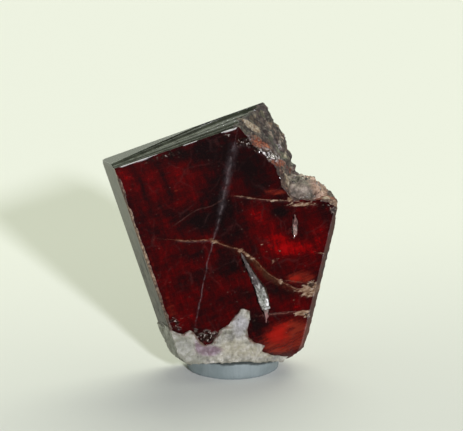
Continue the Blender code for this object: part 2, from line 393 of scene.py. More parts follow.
def setStudio():
    camera = bpy.data.objects.new("camera", bpy.data.cameras.new("camera"))
    scene.collection.objects.link(camera)
    camera.location = studio["cameraAt"]
    camera.rotation_euler = (math.radians(90 - studio["elevation"]), 0.0, math.radians(studio["azimuth"]))
    camera.data.lens = studio["lens"]
    camera.data.sensor_width = 36.0
    camera.data.clip_start = 0.005
    camera.data.clip_end = 10.0
    scene.camera = camera
    scene.view_settings.view_transform = "Standard"

    bm = bmesh.new()
    bmesh.ops.create_circle(bm, cap_ends=True, segments=128, radius=studio["floorRadius"])
    bmesh.ops.translate(bm, vec=studio["floorMiddle"], verts=bm.verts[:])
    floor = newObject("floor", meshFrom(bm, "floor"))
    paper = Finish("paper")
    place = paper.add("ShaderNodeTexCoord").outputs["Object"]
    split = paper.add("ShaderNodeSeparateXYZ")
    paper.plug(split.inputs[0], place)
    near, far = studio["floorFalloffColors"]
    # painted shade: the floor's colour darkens towards the camera
    paintedFalloff = paper.mix(paper.fade(split.outputs["Y"], -0.035, 0.06), near, far)
    fibre = paper.noise(place, 60.0, 2.0)
    paper.set(
        Base_Color=paper.mix(fibre, paintedFalloff, (0.5, 0.5, 0.5), "SOFT_LIGHT"), Roughness=0.9,
        Specular_IOR_Level=0.2,
    )
    floor.data.materials.append(paper.material)

    for name, tint in (("key", (1.0, 0.99, 1.06)), ("back", (0.98, 1.0, 0.81))):
        light = bpy.data.objects.new(name + "Light", bpy.data.lights.new(name + "Light", "SUN"))
        scene.collection.objects.link(light)
        light.rotation_euler = (
            math.radians(90 - studio[name + "Elevation"]), 0.0, math.radians(studio[name + "Azimuth"])
        )
        light.data.energy = studio[name + "Strength"]
        light.data.angle = math.radians(studio[name + "Spread"])
        light.data.color = tint

    world = bpy.data.worlds.new("room")
    scene.world = world
    world.use_nodes = True
    tree = world.node_tree
    tree.nodes.clear()
    add, link = tree.nodes.new, tree.links.new
    direction = add("ShaderNodeTexCoord")
    split = add("ShaderNodeSeparateXYZ")
    link(direction.outputs["Generated"], split.inputs[0])
    # the room is dark on the camera's side and pale behind and above
    behind = add("ShaderNodeMapRange")
    for name, value in (("From Min", -0.35), ("From Max", 0.5), ("To Min", 0.0), ("To Max", 1.0)):
        behind.inputs[name].default_value = value
    lean = add("ShaderNodeMath")
    lean.operation = "MULTIPLY_ADD"
    link(split.outputs["Z"], lean.inputs[0])
    lean.inputs[1].default_value = 0.8
    link(split.outputs["Y"], lean.inputs[2])
    link(lean.outputs[0], behind.inputs["Value"])
    glow = add("ShaderNodeMix")
    glow.data_type = "RGBA"
    link(behind.outputs[0], glow.inputs[0])
    glow.inputs[6].default_value = (0.008, 0.008, 0.009, 1.0)
    glow.inputs[7].default_value = (*studio["roomColor"], 1.0)
    lit, seen = add("ShaderNodeBackground"), add("ShaderNodeBackground")
    link(glow.outputs[2], lit.inputs["Color"])
    seen.inputs["Color"].default_value = (0.76, 0.80, 0.71, 1.0)
    path, both, out = add("ShaderNodeLightPath"), add("ShaderNodeMixShader"), add("ShaderNodeOutputWorld")
    link(path.outputs["Is Camera Ray"], both.inputs[0])
    link(lit.outputs[0], both.inputs[1])
    link(seen.outputs[0], both.inputs[2])
    link(both.outputs[0], out.inputs["Surface"])
    print("studio set")


# Small grains on rough surfaces.

def makeGrainTree():
    # scatters small lumps wherever a mesh is painted grainy, each with a tone of its own
    tree = bpy.data.node_groups.new("grains", "GeometryNodeTree")
    sockets = tree.interface
    sockets.new_socket("Geometry", in_out="INPUT", socket_type="NodeSocketGeometry")
    for name, kind in (
        ("Density", "Float"), ("Smallest", "Float"), ("Largest", "Float"), ("Flatness", "Float"),
        ("Tumble", "Float"), ("Seed", "Int"), ("Material", "Material"),
    ):
        sockets.new_socket(name, in_out="INPUT", socket_type="NodeSocket" + kind)
    sockets.new_socket("Geometry", in_out="OUTPUT", socket_type="NodeSocketGeometry")

    def add(kind, **settings):
        made = tree.nodes.new(kind)
        for name, value in settings.items():
            setattr(made, name, value)
        return made

    link = tree.links.new
    given, out = add("NodeGroupInput"), add("NodeGroupOutput")
    marked = add("GeometryNodeInputNamedAttribute", data_type="FLOAT")
    marked.inputs["Name"].default_value = "grainy"
    density = add("ShaderNodeMath", operation="MULTIPLY")
    link(marked.outputs["Attribute"], density.inputs[0])
    link(given.outputs["Density"], density.inputs[1])
    points = add("GeometryNodeDistributePointsOnFaces", distribute_method="RANDOM")
    link(given.outputs["Geometry"], points.inputs["Mesh"])
    link(density.outputs[0], points.inputs["Density"])
    link(given.outputs["Seed"], points.inputs["Seed"])

    def randomly(kind, low, high, offset):
        made = add("FunctionNodeRandomValue", data_type=kind)
        slot = {"FLOAT": 2, "FLOAT_VECTOR": 0}[kind]
        for socket, value in ((made.inputs[slot], low), (made.inputs[slot + 1], high)):
            if isinstance(value, bpy.types.NodeSocket):
                link(value, socket)
            else:
                socket.default_value = value
        seed = add("ShaderNodeMath", operation="ADD")
        link(given.outputs["Seed"], seed.inputs[0])
        seed.inputs[1].default_value = offset
        link(seed.outputs[0], made.inputs["Seed"])
        return made.outputs[{"FLOAT": 1, "FLOAT_VECTOR": 0}[kind]]

    turn = add("ShaderNodeVectorMath", operation="SCALE")
    link(randomly("FLOAT_VECTOR", (-3.1, -3.1, -3.1), (3.1, 3.1, 3.1), 1), turn.inputs[0])
    link(given.outputs["Tumble"], turn.inputs["Scale"])
    tumble = add("FunctionNodeRotateRotation", rotation_space="LOCAL")
    link(points.outputs["Rotation"], tumble.inputs["Rotation"])
    link(turn.outputs[0], tumble.inputs["Rotate By"])
    long = add("ShaderNodeVectorMath", operation="MULTIPLY")
    link(randomly("FLOAT_VECTOR", (0.6, 0.6, 0.6), (1.5, 1.2, 1.0), 2), long.inputs[0])
    flat = add("ShaderNodeCombineXYZ")
    flat.inputs[0].default_value = flat.inputs[1].default_value = 1.0
    link(given.outputs["Flatness"], flat.inputs[2])
    link(flat.outputs[0], long.inputs[1])
    size = add("ShaderNodeVectorMath", operation="SCALE")
    link(long.outputs[0], size.inputs[0])
    link(randomly("FLOAT", given.outputs["Smallest"], given.outputs["Largest"], 3), size.inputs["Scale"])

    lump = add("GeometryNodeMeshIcoSphere")
    lump.inputs["Radius"].default_value = 0.5
    lump.inputs["Subdivisions"].default_value = 1
    spread = add("GeometryNodeInstanceOnPoints")
    link(points.outputs["Points"], spread.inputs["Points"])
    link(lump.outputs["Mesh"], spread.inputs["Instance"])
    link(tumble.outputs[0], spread.inputs["Rotation"])
    link(size.outputs[0], spread.inputs["Scale"])
    tone = add("GeometryNodeStoreNamedAttribute", data_type="FLOAT", domain="INSTANCE")
    tone.inputs["Name"].default_value = "tone"
    link(spread.outputs[0], tone.inputs["Geometry"])
    link(randomly("FLOAT", 0.0, 1.0, 4), tone.inputs["Value"])
    whole, finish = add("GeometryNodeRealizeInstances"), add("GeometryNodeSetMaterial")
    link(tone.outputs[0], whole.inputs[0])
    link(whole.outputs[0], finish.inputs["Geometry"])
    link(given.outputs["Material"], finish.inputs["Material"])
    link(finish.outputs[0], out.inputs[0])
    return tree


def makeGrains(name, carrier, share, settings, finish, nodes):
    grains = newObject(name, carrier.data.copy())
    paint(grains, "grainy", share)
    modifier = grains.modifiers.new("Grains", "NODES")
    modifier.node_group = grainTree
    for socket in grainTree.interface.items_tree:
        if socket.in_out == "INPUT" and socket.name in settings:
            modifier[socket.identifier] = settings[socket.name]
        if socket.in_out == "INPUT" and socket.name == "Material":
            modifier[socket.identifier] = finish
    freeze(grains)
    return finishPiece(grains, finish, nodes, smoothUnder=20.0)


def grainFinish(name, stops, gloss=(0.7, 0.25), ior=1.6):
    # each grain takes its colour from its own tone, and the palest are the glossiest
    f = Finish(name)
    tone = f.painted("tone")
    cloudy = f.noise(f.tablet(), 1.4, 3.0)
    mixed = f.sum("ADD", f.sum("MULTIPLY", tone, 0.65), f.sum("MULTIPLY", cloudy, 0.35))
    f.set(Base_Color=f.ramp(mixed, stops), Roughness=f.fade(tone, 0.6, 0.95, gloss), IOR=ior)
    return f.material


# The crystal.

crystal = {
    "size": (20.8, 6.4, 24.2),
    "top": 0.36,
    "grain": 0.12,
    "sliver": 0.012,  # cutting leaves nothing thinner than this
    "breakGrains": (0.26, 0.24),  # voxels, before and after roughening
    "faces": {
        "top": ((0.0, 0.0, 0.36), (0.009, 0.0, 1.0)),
        "upper right": ((19.4, 0.0, -12.3), (0.93, 0.10, -0.36)),
        "right": ((13.4, 0.0, -21.9), (0.84, 0.02, -0.54)),
        "lower right": ((12.05, 0.0, -23.45), (0.75, -0.05, -0.66)),
        "underside": ((9.9, 0.0, -23.95), (0.23, 0.0, -0.97)),
        "underside in the foot": ((9.0, 0.0, -23.4), (-0.36, 0.0, -0.93)),
        "lower left": ((0.0, 0.0, -19.9), (-0.87, 0.0, -0.49)),
        "right front bevel": ((19.2, 0.0, -12.0), (0.62, -0.66, -0.40)),
        "right back bevel": ((17.2, 6.4, -14.4), (0.60, 0.70, -0.38)),
        "top back left corner": ((0.5, 6.4, 0.36), (-0.55, 0.45, 0.70)),
        "top back edge": ((0.0, 6.4, 0.04), (0.0, 0.75, 0.66)),
        "shoulder corner": ((19.9, 0.0, -10.7), (0.78, -0.50, 0.38)),
    },
    # growth ledges on the top face, front to back: reach at the left end and at x 15, then drop at each
    "ledges": (
        (0.50, 0.55, 0.38, 0.76),
        (0.75, 1.80, 0.34, 0.60),
        (0.88, 3.80, 0.25, 0.46),
        (1.02, 6.40, 0.22, 0.40),
        (1.20, 8.20, 0.07, 0.24),
    ),
    "backLedges": (((6.0, -8.5), 24.0, 0.28), ((11.5, -12.0), 31.0, 0.42)),
    # the broken corner: two steep faces that share one shelf
    "breaks": (((13.34, 0.0, -1.4), (0.90, -0.71, 0.41)), ((15.13, 0.0, -5.16), (0.98, -0.50, 0.17))),
    "shelf": ((15.5, 0.0, -8.8), (0.32, -0.21, 0.94)),
    "breakBlock": ((10.0, -3.0, -14.0), (26.0, 10.0, 4.0)),
    "breakRoughness": 0.42,
    "breakLumps": 2.4,
    "breakBulge": ((17.0, -3.3, 1.6, 1.7, 0, 0.40),),
    "shoulderSkin": ((19.7, -11.1, 0.75, 1.1, 10, 1.0), (18.9, -10.25, 0.9, 0.3, -12, 0.9)),
    # a painted highlight along the front edge at the top: x, then how wide it is there
    "topEdgeHighlight": (
        (0.0, -0.1), (0.9, 0.12), (3.0, 0.12), (4.4, 0.03), (4.8, -0.1), (6.4, -0.1), (7.3, 0.07),
        (8.4, 0.08), (8.8, -0.1), (10.7, -0.1), (11.3, 0.14), (12.5, 0.15), (12.8, -0.1),
    ),
    "leftEdge": 0.16,
    # chips out of the front face: place, half sizes, turn, strength
    "chips": (
        (4.9, -0.55, 1.7, 0.26, -3, 0.9),
        (11.6, -0.75, 0.9, 0.22, -3, 0.8),
        (12.95, -2.0, 0.75, 0.55, -25, 1.3),
        (13.9, -3.1, 0.45, 0.55, 40, 1.1),
        (14.95, -4.6, 0.35, 0.9, 18, 1.1),
        (15.35, -6.8, 0.22, 1.6, 5, 1.0),
        (19.2, -11.2, 0.45, 0.8, 10, 0.8),
        (14.9, -17.7, 0.6, 0.4, -30, 0.9),
        (0.7, -16.4, 0.5, 0.7, 20, 0.8),
        (3.3, -18.85, 0.85, 0.65, -10, 1.3),
        (2.3, -17.9, 0.4, 0.5, 0, 0.9),
        (13.5, -20.4, 0.4, 0.25, 0, 0.8),
    ),
}

# what shows inside the crystal, in x and z
insides = {
    "crackDepths": {"crackMain": 0.035, "crackUpper": 0.03, "crackLower": 0.025, "crackSide": 0.02},
    "dip": (-0.19, 0.0, 0.19),  # every flaw runs back through the crystal at this slope
    "crackMain": (
        (3.42, -8.64), (4.31, -9.08), (5.63, -9.52), (6.76, -9.89), (7.22, -10.38), (8.13, -11.14),
        (8.81, -11.61), (9.59, -12.43), (10.28, -13.54), (10.94, -15.05), (11.86, -16.14), (13.03, -17.44),
        (14.01, -18.04), (14.81, -18.88),
    ),
    "crackSide": ((11.86, -16.14), (12.9, -16.55), (13.9, -17.1), (14.9, -17.5), (15.6, -18.2)),
    "crackShort": ((3.9, -7.15), (6.22, -6.57), (7.83, -6.76), (8.96, -6.55)),
    "crackUpper": (
        (10.39, -6.67), (11.3, -7.11), (12.36, -7.71), (13.46, -8.23), (14.68, -8.73), (15.71, -9.16),
        (16.69, -9.74), (17.4, -10.21),
    ),
    "crackLower": ((9.04, -18.77), (10.32, -19.11), (11.79, -19.52), (12.74, -19.89), (13.25, -20.3)),
    "vein": (
        (11.77, -2.0), (11.05, -3.18), (10.3, -4.46), (9.55, -5.74), (8.55, -7.44), (7.61, -8.96),
        (6.85, -9.93), (5.97, -11.27), (5.0, -12.89), (4.24, -14.17), (3.48, -15.46), (2.66, -16.93),
    ),
    "redGlows": (
        (0.8, -1.9, 0.8, 1.6, 0, 0.24),
        (2.9, -2.3, 0.7, 1.5, 0, 0.26),
        (5.6, -2.7, 0.9, 1.0, 0, 0.22),
        (6.9, -3.6, 1.3, 1.0, 0, 0.26),
        (6.2, -4.9, 1.3, 0.8, 0, 0.20),
        (2.4, -4.0, 1.2, 0.9, 0, 0.12),
        (1.4, -9.0, 0.9, 1.1, 0, 0.10),
        (3.3, -11.4, 1.4, 0.9, 0, 0.16),
        (1.2, -13.0, 0.9, 2.0, 0, 0.16),
        (6.9, -14.4, 1.6, 1.1, 0, 0.12),
        (4.8, -16.3, 1.4, 0.7, 0, 0.08),
        (11.4, -8.8, 1.4, 0.9, -15, 0.16),
        (12.3, -10.4, 1.6, 1.0, -15, 0.26),
        (13.5, -13.3, 1.0, 0.8, 0, 0.62),
        (15.1, -13.8, 1.0, 0.7, -20, 0.52),
        (13.1, -12.1, 1.3, 0.8, 20, 0.42),
        (11.9, -11.7, 1.0, 0.7, 0, 0.14),
        (16.9, -12.6, 1.0, 1.6, 0, 0.20),
        (16.2, -14.6, 0.8, 0.7, 0, 0.16),
        (13.8, -15.3, 1.2, 0.5, -10, 0.16),
        (12.6, -18.9, 1.8, 0.5, -15, 0.14),
    ),
    "darks": (
        (10.4, -3.0, 1.8, 2.2, 0, 0.28),
        (8.8, -4.7, 1.1, 1.6, 0, 0.26),
        (13.6, -6.3, 1.3, 0.7, -20, 0.20),
        (9.0, -7.6, 2.0, 1.6, 0, 0.42),
        (6.2, -7.9, 1.6, 0.9, -10, 0.40),
        (8.7, -10.9, 1.3, 1.5, 0, 0.32),
        (7.7, -12.9, 1.2, 1.1, 0, 0.42),
        (5.3, -10.7, 0.9, 0.7, 0, 0.28),
        (12.9, -4.6, 2.2, 2.0, 0, 0.40),
        (5.9, -15.9, 1.2, 0.6, 0, 0.14),
        (14.3, -9.7, 1.3, 0.45, -15, 0.42),
        (7.2, -1.0, 3.6, 0.5, 0, 0.30),
        (9.6, -1.4, 2.2, 1.3, 0, 0.24),
        (1.97, -2.6, 0.20, 1.6, 4, 0.26),
        (4.25, -2.7, 0.24, 1.6, 4, 0.30),
        (4.4, -6.2, 1.3, 0.6, -15, 0.18),
        (8.2, -19.3, 0.8, 1.3, 0, 0.36),
        (11.6, -17.2, 1.6, 0.5, -30, 0.20),
        (10.6, -16.6, 1.2, 0.6, -20, 0.16),
        (5.0, -12.6, 1.2, 0.7, 0, 0.14),
    ),
    "warmGlows": (
        (10.8, -21.6, 2.6, 1.5, -12, 1.10),
        (9.3, -22.2, 1.2, 0.7, -25, 0.75),
        (12.0, -21.7, 1.3, 1.2, 0, 0.70),
        (13.2, -16.4, 0.8, 0.35, -25, 0.55),
        (14.2, -16.65, 1.25, 0.75, -17, 1.1),
        (14.3, -7.7, 1.3, 0.32, -20, 0.95),
        (4.95, -4.1, 0.30, 0.13, 0, 0.75),
        (5.45, -4.05, 0.20, 0.10, 0, 0.55),
        (0.8, -15.0, 0.6, 2.0, 0, 0.45),
        (0.5, -10.2, 0.35, 2.6, 0, 0.35),
    ),
    "embers": (
        (9.7, -21.0, 1.5, 1.0, -35, 1.0), (11.0, -20.3, 0.9, 0.7, 0, 0.5),
        (13.4, -16.5, 0.9, 0.5, -20, 0.6),
    ),
    "creams": (
        (6.9, -10.1, 0.55, 0.22, -35, 0.9),
        (9.1, -11.9, 0.28, 0.22, 0, 1.0),
        (9.7, -12.7, 0.20, 0.65, 35, 0.75),
        (11.9, -16.25, 0.22, 0.30, 0, 0.8),
        (13.3, -17.75, 0.9, 0.16, -18, 0.45),
        (14.4, -18.1, 0.75, 0.62, 0, 1.3),
        (14.9, -17.7, 0.35, 0.25, -20, 0.8),
        (15.3, -18.2, 0.30, 0.35, 0, 0.8),
        (13.3, -20.4, 0.35, 0.25, 0, 0.9),
        (12.9, -19.95, 0.65, 0.24, -12, 1.2),
        (11.6, -7.3, 0.8, 0.12, -28, 0.6),
        (13.9, -8.45, 0.9, 0.12, -20, 0.7),
        (16.4, -9.8, 1.2, 0.20, -18, 1.0),
        (15.4, -8.9, 0.25, 0.35, 0, 1.0),
        (11.9, -14.1, 0.45, 0.20, 10, 0.55),
        (11.3, -12.1, 0.16, 0.16, 0, 0.6),
        (12.8, -13.4, 0.12, 0.12, 0, 0.6),
        (12.6, -18.5, 0.14, 0.14, 0, 0.7),
        (16.6, -15.0, 0.6, 0.10, -25, 0.6),
        (17.0, -15.6, 0.5, 0.10, -25, 0.5),
    ),
    "rust": (
        (14.2, -2.5, 0.75, 0.50, -35, 1.4),
        (15.4, -4.95, 0.80, 0.40, -35, 1.4),
        (14.9, -3.3, 0.50, 0.35, -35, 0.7),
        (16.4, -6.3, 0.40, 0.60, 0, 0.6),
        (19.4, -11.1, 0.7, 0.9, 0, 0.9),
        (18.3, -10.4, 0.8, 0.3, -10, 0.7),
        (18.6, -9.9, 1.0, 0.40, -25, 1.2),
    ),
    "paleWear": (
        (0.0, -8.5, 0.8, 9.0, 0, 0.65), (19.6, -11.0, 1.2, 1.1, 0, 0.7), (15.6, -18.4, 0.7, 0.7, 0, 0.8),
        (17.9, -15.0, 0.4, 0.4, 0, 0.4),
    ),
    "sparkle": (
        (13.05, -1.75, 0.45, 0.25, -10, 1.0),
        (14.65, -3.9, 0.90, 0.42, -35, 1.4),
        (15.4, -4.6, 0.35, 0.30, 0, 0.8),
        (16.2, -3.5, 0.20, 0.25, 0, 0.9),
    ),
    "paleBreak": (
        (14.15, -0.75, 1.15, 0.28, -55, 1.5),
        (15.85, -7.3, 0.26, 1.3, 5, 1.1),
        (15.9, -1.1, 0.8, 0.5, -20, 0.45),
        (16.5, -4.4, 0.35, 0.7, 0, 0.6),
        (18.9, -10.0, 0.6, 0.30, -25, 1.0),
    ),
}


def ledgeEdges(x):
    # how far back each ledge reaches, and how high it ends
    along = np.clip(x, 0.0, 15.0) / 15.0
    tops = list(crystal["ledges"][1:]) + [(0.0, 0.0, 0.0, 0.0)]
    for count, (ledge, above) in enumerate(zip(crystal["ledges"], tops)):
        wobble = (0.07 * np.sin(x * 0.9 + count) + 0.015 * np.sin(x * 4.3 + 2.0 * count)) * np.sqrt(along)
        reach = np.minimum(ledge[0] + (ledge[1] - ledge[0]) * along + wobble, 5.4 + 0.13 * count)
        low = crystal["top"] - ledge[2] - (ledge[3] - ledge[2]) * along
        yield reach, low, crystal["top"] - above[2] - (above[3] - above[2]) * along


def ledgeCutter():
    # what the growth ledges leave out above the top face, as one staircase along x
    bm = bmesh.new()
    columns = []
    for x in np.arange(-0.6, 21.5, 0.3):
        line = []
        for count, (reach, height, _) in enumerate(ledgeEdges(x)):
            if count == 0:
                line += [(y, height) for y in (-1.0, 0.05, 0.11, 0.18)]
            else:
                line.append((start + 0.35 * (height - below), height))
            line.append((reach, height))
            start, below = reach, height
        line += [(start, 2.0), (-1.0, 2.0)]
        columns.append([bm.verts.new((x, y, z)) for y, z in line])
    for left, right in zip(columns, columns[1:]):
        for i in range(len(left)):
            bm.faces.new((left[i - 1], left[i], right[i], right[i - 1]))
    bm.faces.new(columns[0])
    bm.faces.new(columns[-1])
    bmesh.ops.triangulate(bm, faces=bm.faces[:])
    return newObject("ledges", meshFrom(bm, "ledges"))


def wearLeftEdge(points):
    # takes the sharpness off the front face's left edge, more in some places than in others
    x, y, z = points.T
    worn = crystal["leftEdge"] * np.clip(0.35 + 1.6 * noiseAt(points * (0.0, 0.0, 1.0), 0.9, 12), 0.1, 1.3)
    over = np.maximum(worn - (x + y), 0.0)
    return np.column_stack((x + over / 2, y + over / 2, z))


def brokenCorner():
    parts = []
    for steep in crystal["breaks"]:
        bm = block(*crystal["breakBlock"])
        for point, outward in (steep, crystal["shelf"]):
            trim(bm, point, -Vector(outward))
        parts.append(newObject("brokenCorner", meshFrom(bm, "brokenCorner")))
    coarse, fine = crystal["breakGrains"]
    corner = evenOut(combine(*parts, "UNION"), coarse)
    roughen(corner, crystal["breakRoughness"], crystal["breakLumps"], 1)
    return evenOut(corner, fine)


def outsideOf(points, plane):
    point, outward = plane
    return (points - np.array(point)) @ np.array(Vector(outward).normalized())


def makeCrystal(seat, pockets, finish):
    wide, deep, tall = crystal["size"]
    bm = block((0.0, 0.0, -tall), (wide, deep, crystal["top"]))
    for point, outward in crystal["faces"].values():
        trim(bm, point, outward)
    stone = newObject("tantaliteTablet", meshFrom(bm, "tantaliteTablet"))
    for (x, z), turn, depth in crystal["backLedges"]:
        step = block((0.0, deep - depth, -40.0), (40.0, 40.0, 40.0))
        step.transform(Matrix.Translation((x, 0.0, z)) @ Matrix.Rotation(math.radians(turn), 4, "Y"))
        combine(stone, newObject("step", meshFrom(step, "step")), "DIFFERENCE")
    for cutter in (brokenCorner(), seat, *pockets):
        combine(stone, cutter, "DIFFERENCE")
    evenOut(stone, crystal["grain"])
    combine(stone, ledgeCutter(), "DIFFERENCE")
    mend(stone, crystal["sliver"])
    keepLargest(stone)

    points, normals = pointsOf(stone), normalsOf(stone)
    x, y, z = points.T
    steep = np.maximum(*(outsideOf(points, plane) for plane in crystal["breaks"]))
    fromBreak = np.minimum(steep, outsideOf(points, crystal["shelf"]))
    facesFront = between(-normals[:, 1], 0.86, 0.96)
    onFront = between(y, 0.25, 0.02)
    onTop = between(z, -1.0, -0.6) * between(normals[:, 2], 0.85, 0.95)
    inBreak = between(fromBreak, -0.85, -0.35) * (1.0 - onFront * facesFront) * (1.0 - onTop)
    calm = 1.0 - 0.9 * between(x, 18.2, 19.2)  # the shelf ends in a smooth shoulder
    chipped = spots(points, crystal["chips"])
    ragged = 0.6 * noiseAt(points, 0.4, 13) + 0.5 * noiseAt(points, 0.17, 14)
    chipped = onFront * between(chipped + ragged, 0.50, 0.62) * between(chipped, 0.1, 0.3)
    bevel = between(outsideOf(points, crystal["faces"]["right front bevel"]), -0.16, -0.05)
    bevel = np.maximum(bevel, between(outsideOf(points, crystal["faces"]["shoulder corner"]), -0.25, -0.05))
    creaseAndPaintedShade = facetsAt(points * (1.0, 0.8, 1.2), 1.25, 3)
    facet = facetsAt(points, 0.55, 19)
    rough = (
        0.15 * noiseAt(points, 0.8, 2) - 0.40 * creaseAndPaintedShade - 0.22 * facet + 0.05 * noiseAt(points, 0.25, 4)
    ) * calm
    chips = (0.02 + 0.04 * facetsAt(points, 0.30, 15)) * between(z, -1.2, -1.8)
    rough += calm * (0.10 + spots(points, crystal["breakBulge"]))
    points += normals * (inBreak * rough - chipped * (1.0 - inBreak) * chips)[:, None]
    points += normals * (0.10 * bevel * (noiseAt(points, 0.5, 17) - 0.4))[:, None]
    # cracks let into the front
    for name, depth in insides["crackDepths"].items():
        away = np.abs(fromLine(points, insides[name]))
        points += normals * (-depth * between(away, 0.15, 0.0) * onFront)[:, None]
    points = wearLeftEdge(points)
    setPoints(stone, points)

    side = between(-normals[:, 0], 0.7, 0.95)
    fromSide = x + 0.18 * noiseAt(points, 0.7, 18)
    edge = between(fromSide, 0.28, 0.12) * between(y, 0.7, 0.3) * between(z, -0.5, -1.5)
    ragged = bevel * between(
        y + 0.4 * noiseAt(points * (1.0, 1.0, 0.6), 0.8, 20) + 0.1 * noiseAt(points, 0.3, 24), 0.20, 0.48,
    )
    ragged *= between(z + 0.8 * noiseAt(points, 0.8, 27), -19.2, -18.4)
    paint(stone, "broken", inBreak)
    # painted shade: the creases between facets, which the roughening sinks, are marked for dark paint
    paint(stone, "creaseAndPaintedShade", inBreak * np.maximum(between(creaseAndPaintedShade, 0.0, 0.22), 0.7 * between(facet, 0.05, 0.25)))
    paint(
        stone, "glassy",
        inBreak * between(y + 0.8 * noiseAt(points, 0.9, 25), 2.0, 1.0) * between(z, -1.2, -2.0),
    )
    paint(stone, "chipped", chipped)
    skin = spots(points, crystal["shoulderSkin"])
    skin += 0.5 * noiseAt(points, 0.5, 28)
    skin += 0.3 * noiseAt(points, 0.2, 29)
    skin = between(skin, 0.45, 0.65) * between(y, 1.2, 0.6)
    paint(stone, "worn", np.max((edge, ragged, skin), axis=0))
    paint(stone, "onBevel", bevel * (1.0 - skin))
    paint(stone, "side", side)
    edges = list(ledgeEdges(x))
    ledged = (z > edges[0][1] - 0.03) * between(y, 0.0, 0.06)
    paint(stone, "lid", np.maximum(between(normals[:, 2], 0.75, 0.95) * between(z, -1.4, -1.0), ledged))
    # painted reflection: the smooth back part of the top, painted pale as the room shows in it
    paint(
        stone, "paintedLidReflection",
        between(y - np.interp(x, (0.0, 15.0), (1.2, 8.2)), 0.0, 0.8) * between(x, 10.0, 1.0),
    )
    # painted highlight: a thin white line along the front edge at the top, in some places
    fromTop = np.maximum(edges[0][1] - z, 0.0) + np.maximum(y, 0.0)
    paint(
        stone, "paintedEdgeHighlight",
        between(np.interp(x, *zip(*crystal["topEdgeHighlight"])) - fromTop, 0.0, 0.06) * (x < 13.0),
    )
    # painted highlight: pale lines along the edges of the growth ledges
    fromEdges = np.min([np.hypot(y - reach, z - high) for reach, low, high in edges], axis=0)
    paint(stone, "ledgeHighlight", between(fromEdges, 0.06, 0.0) * (1.0 - inBreak))
    through = points + y[:, None] * np.array(insides["dip"])
    for name in ("crackMain", "crackSide", "crackShort", "crackUpper", "crackLower", "vein"):
        paint(stone, name, fromLine(through, insides[name]))
    for name in (
        "redGlows", "darks", "warmGlows", "embers", "creams", "rust", "paleBreak", "paleWear", "sparkle",
    ):
        paint(stone, name, spots(through, insides[name]))
    print("crystal cut")
    return finishPiece(stone, finish, ["tantalite_crystal"]), points


